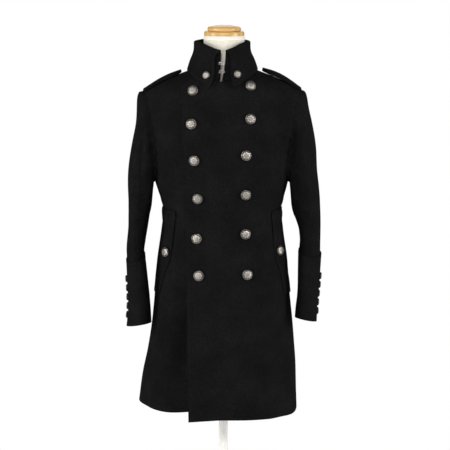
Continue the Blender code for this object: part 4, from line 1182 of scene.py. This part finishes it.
def add_cut_map(mesh):
    """A map round and up the form in metres, for its weave."""
    points = points_of(mesh)
    corner = np.empty(len(mesh.loops), int)
    mesh.loops.foreach_get("vertex_index", corner)
    around = np.arctan2(points[:, 0], -points[:, 1]) * np.hypot(points[:, 0], points[:, 1])
    layer = mesh.uv_layers.new(name="cloth")
    flat = np.stack((around, points[:, 2]), axis=1)[corner]
    layer.data.foreach_set("uv", flat.astype(np.float32).ravel())


def clear_of_cloth(points):
    """The form's points drawn in below the collar, so that no fold of the coat cuts it."""
    depth = FORM_CLEARANCE * ease((FORM_BARE_FROM - points[:, 2]) / FORM_FADE)
    return points - unit(points * (1.0, 1.0, 0.0)) * depth[:, None]


torso_mesh = rounded(smooth_wall("form_torso", None, FORM_LEVELS), FORM_ROUND)
set_points(torso_mesh, clear_of_cloth(points_of(torso_mesh)))
add_cut_map(torso_mesh)
TORSO = finish_piece("form_torso_cover", torso_mesh, LINEN, "linen", "form_torso")


def neck_band():
    """The tape sewn round the top of the form's neck, a closed ring with a thin section."""
    surface = surface_of(torso_mesh)
    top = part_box("form_torso")[1].z - TAPE_DROP
    low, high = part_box("cap_lower")
    centre = (low + high) / 2
    points = []
    for out, drop in TAPE_SECTION:
        for k in range(TURN_STEPS):
            angle = 2 * math.pi * k / TURN_STEPS
            way = Vector((math.cos(angle), math.sin(angle), 0.0))
            start = Vector((centre.x, centre.y, top - TAPE_HEIGHT * drop)) + way * OUTSIDE_NECK
            place = surface.ray_cast(start, -way)[0]
            points.append(tuple(place + way * (TAPE_LIFT + TAPE_THICK * out)))
    faces = []
    for r in range(len(TAPE_SECTION)):
        here = r * TURN_STEPS
        following = (r + 1) % len(TAPE_SECTION) * TURN_STEPS
        for k in range(TURN_STEPS):
            beside = (k + 1) % TURN_STEPS
            faces.append((here + k, following + k, following + beside, here + beside))
    mesh = bpy.data.meshes.new("neck_band")
    mesh.from_pydata(points, [], faces)
    mesh.shade_smooth()
    mesh.set_sharp_from_angle(angle=SMOOTH_ANGLE)
    finish_piece("neck_band", mesh, TAPE, "linen")


neck_band()


def hook(node):
    """A bent wire hook in its node's place."""
    low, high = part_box(node)
    middle = (low + high) / 2
    wire = bpy.data.curves.new(f"{node}_wire", "CURVE")
    wire.dimensions = "3D"
    wire.bevel_depth = HOOK_WIRE
    wire.bevel_resolution = HOOK_SMOOTHNESS
    wire.use_fill_caps = True
    line = wire.splines.new("BEZIER")
    line.bezier_points.add(len(HOOK_PATH) - 1)
    for point, (x, up) in zip(line.bezier_points, HOOK_PATH):
        point.co = (x, middle.y, middle.z + up)
        point.handle_left_type = "AUTO"
        point.handle_right_type = "AUTO"
    wire.materials.append(STEEL)
    declare(link(f"{node}_wire", wire), "hook_steel", node)


hook("hook_upper")
hook("hook_lower")


# Stage, light and camera


def seen_white(nodes, links, seen, unseen):
    """One shader to the camera, and another to the rest of the scene."""
    path = nodes.new("ShaderNodeLightPath")
    mixed = nodes.new("ShaderNodeMixShader")
    links.new(path.outputs["Is Camera Ray"], mixed.inputs[0])
    links.new(unseen, mixed.inputs[1])
    links.new(seen, mixed.inputs[2])
    return mixed.outputs[0]


def floor():
    """A plain floor: white to the camera, and pale with a faint glow to the rest of the scene."""
    mesh = bpy.data.meshes.new("floor")
    ways = ((-1, -1), (1, -1), (1, 1), (-1, 1))
    mesh.from_pydata([(x * FLOOR_HALF, y * FLOOR_HALF, 0.0) for x, y in ways], [], [(0, 1, 2, 3)])
    made = bpy.data.materials.new("floor_white")
    made.use_nodes = True
    nodes, links = made.node_tree.nodes, made.node_tree.links
    white = nodes.new("ShaderNodeEmission")
    shader = nodes["Principled BSDF"]
    settle(shader, {"Base Color": FLOOR_COLOUR, "Roughness": FLOOR_ROUGHNESS})
    settle(shader, {"Emission Color": WHITE, "Emission Strength": FLOOR_GLOW})
    both = seen_white(nodes, links, white.outputs[0], shader.outputs[0])
    links.new(both, nodes["Material Output"].inputs["Surface"])
    mesh.materials.append(made)
    obj = link("floor", mesh)
    obj.location.z = -FLOOR_DROP


def area_light(name, place, aim, size, power):
    data = bpy.data.lights.new(name, "AREA")
    data.shape = "RECTANGLE"
    data.size, data.size_y = size
    data.energy = power
    obj = link(name, data)
    obj.location = place
    obj.rotation_euler = (Vector(aim) - Vector(place)).to_track_quat("-Z", "Y").to_euler()


def world():
    """White behind the object, and a dim even light on it."""
    made = bpy.data.worlds.new("studio")
    bpy.context.scene.world = made
    made.use_nodes = True
    nodes, links = made.node_tree.nodes, made.node_tree.links
    dim = nodes["Background"]
    settle(dim, {"Color": WHITE, "Strength": AMBIENT})
    white = nodes.new("ShaderNodeBackground")
    settle(white, {"Color": WHITE})
    both = seen_white(nodes, links, white.outputs[0], dim.outputs[0])
    links.new(both, nodes["World Output"].inputs["Surface"])


def camera():
    data = bpy.data.cameras.new("camera")
    data.lens = LENS_MM
    data.sensor_width = SENSOR_MM
    obj = link("camera", data)
    obj.location = CAMERA_PLACE
    obj.rotation_euler = (math.pi / 2 - CAMERA_PITCH, 0.0, 0.0)
    bpy.context.scene.camera = obj


floor()
world()
for light in LIGHTS:
    area_light(*light)
camera()
bpy.context.scene.view_settings.view_transform = "Standard"
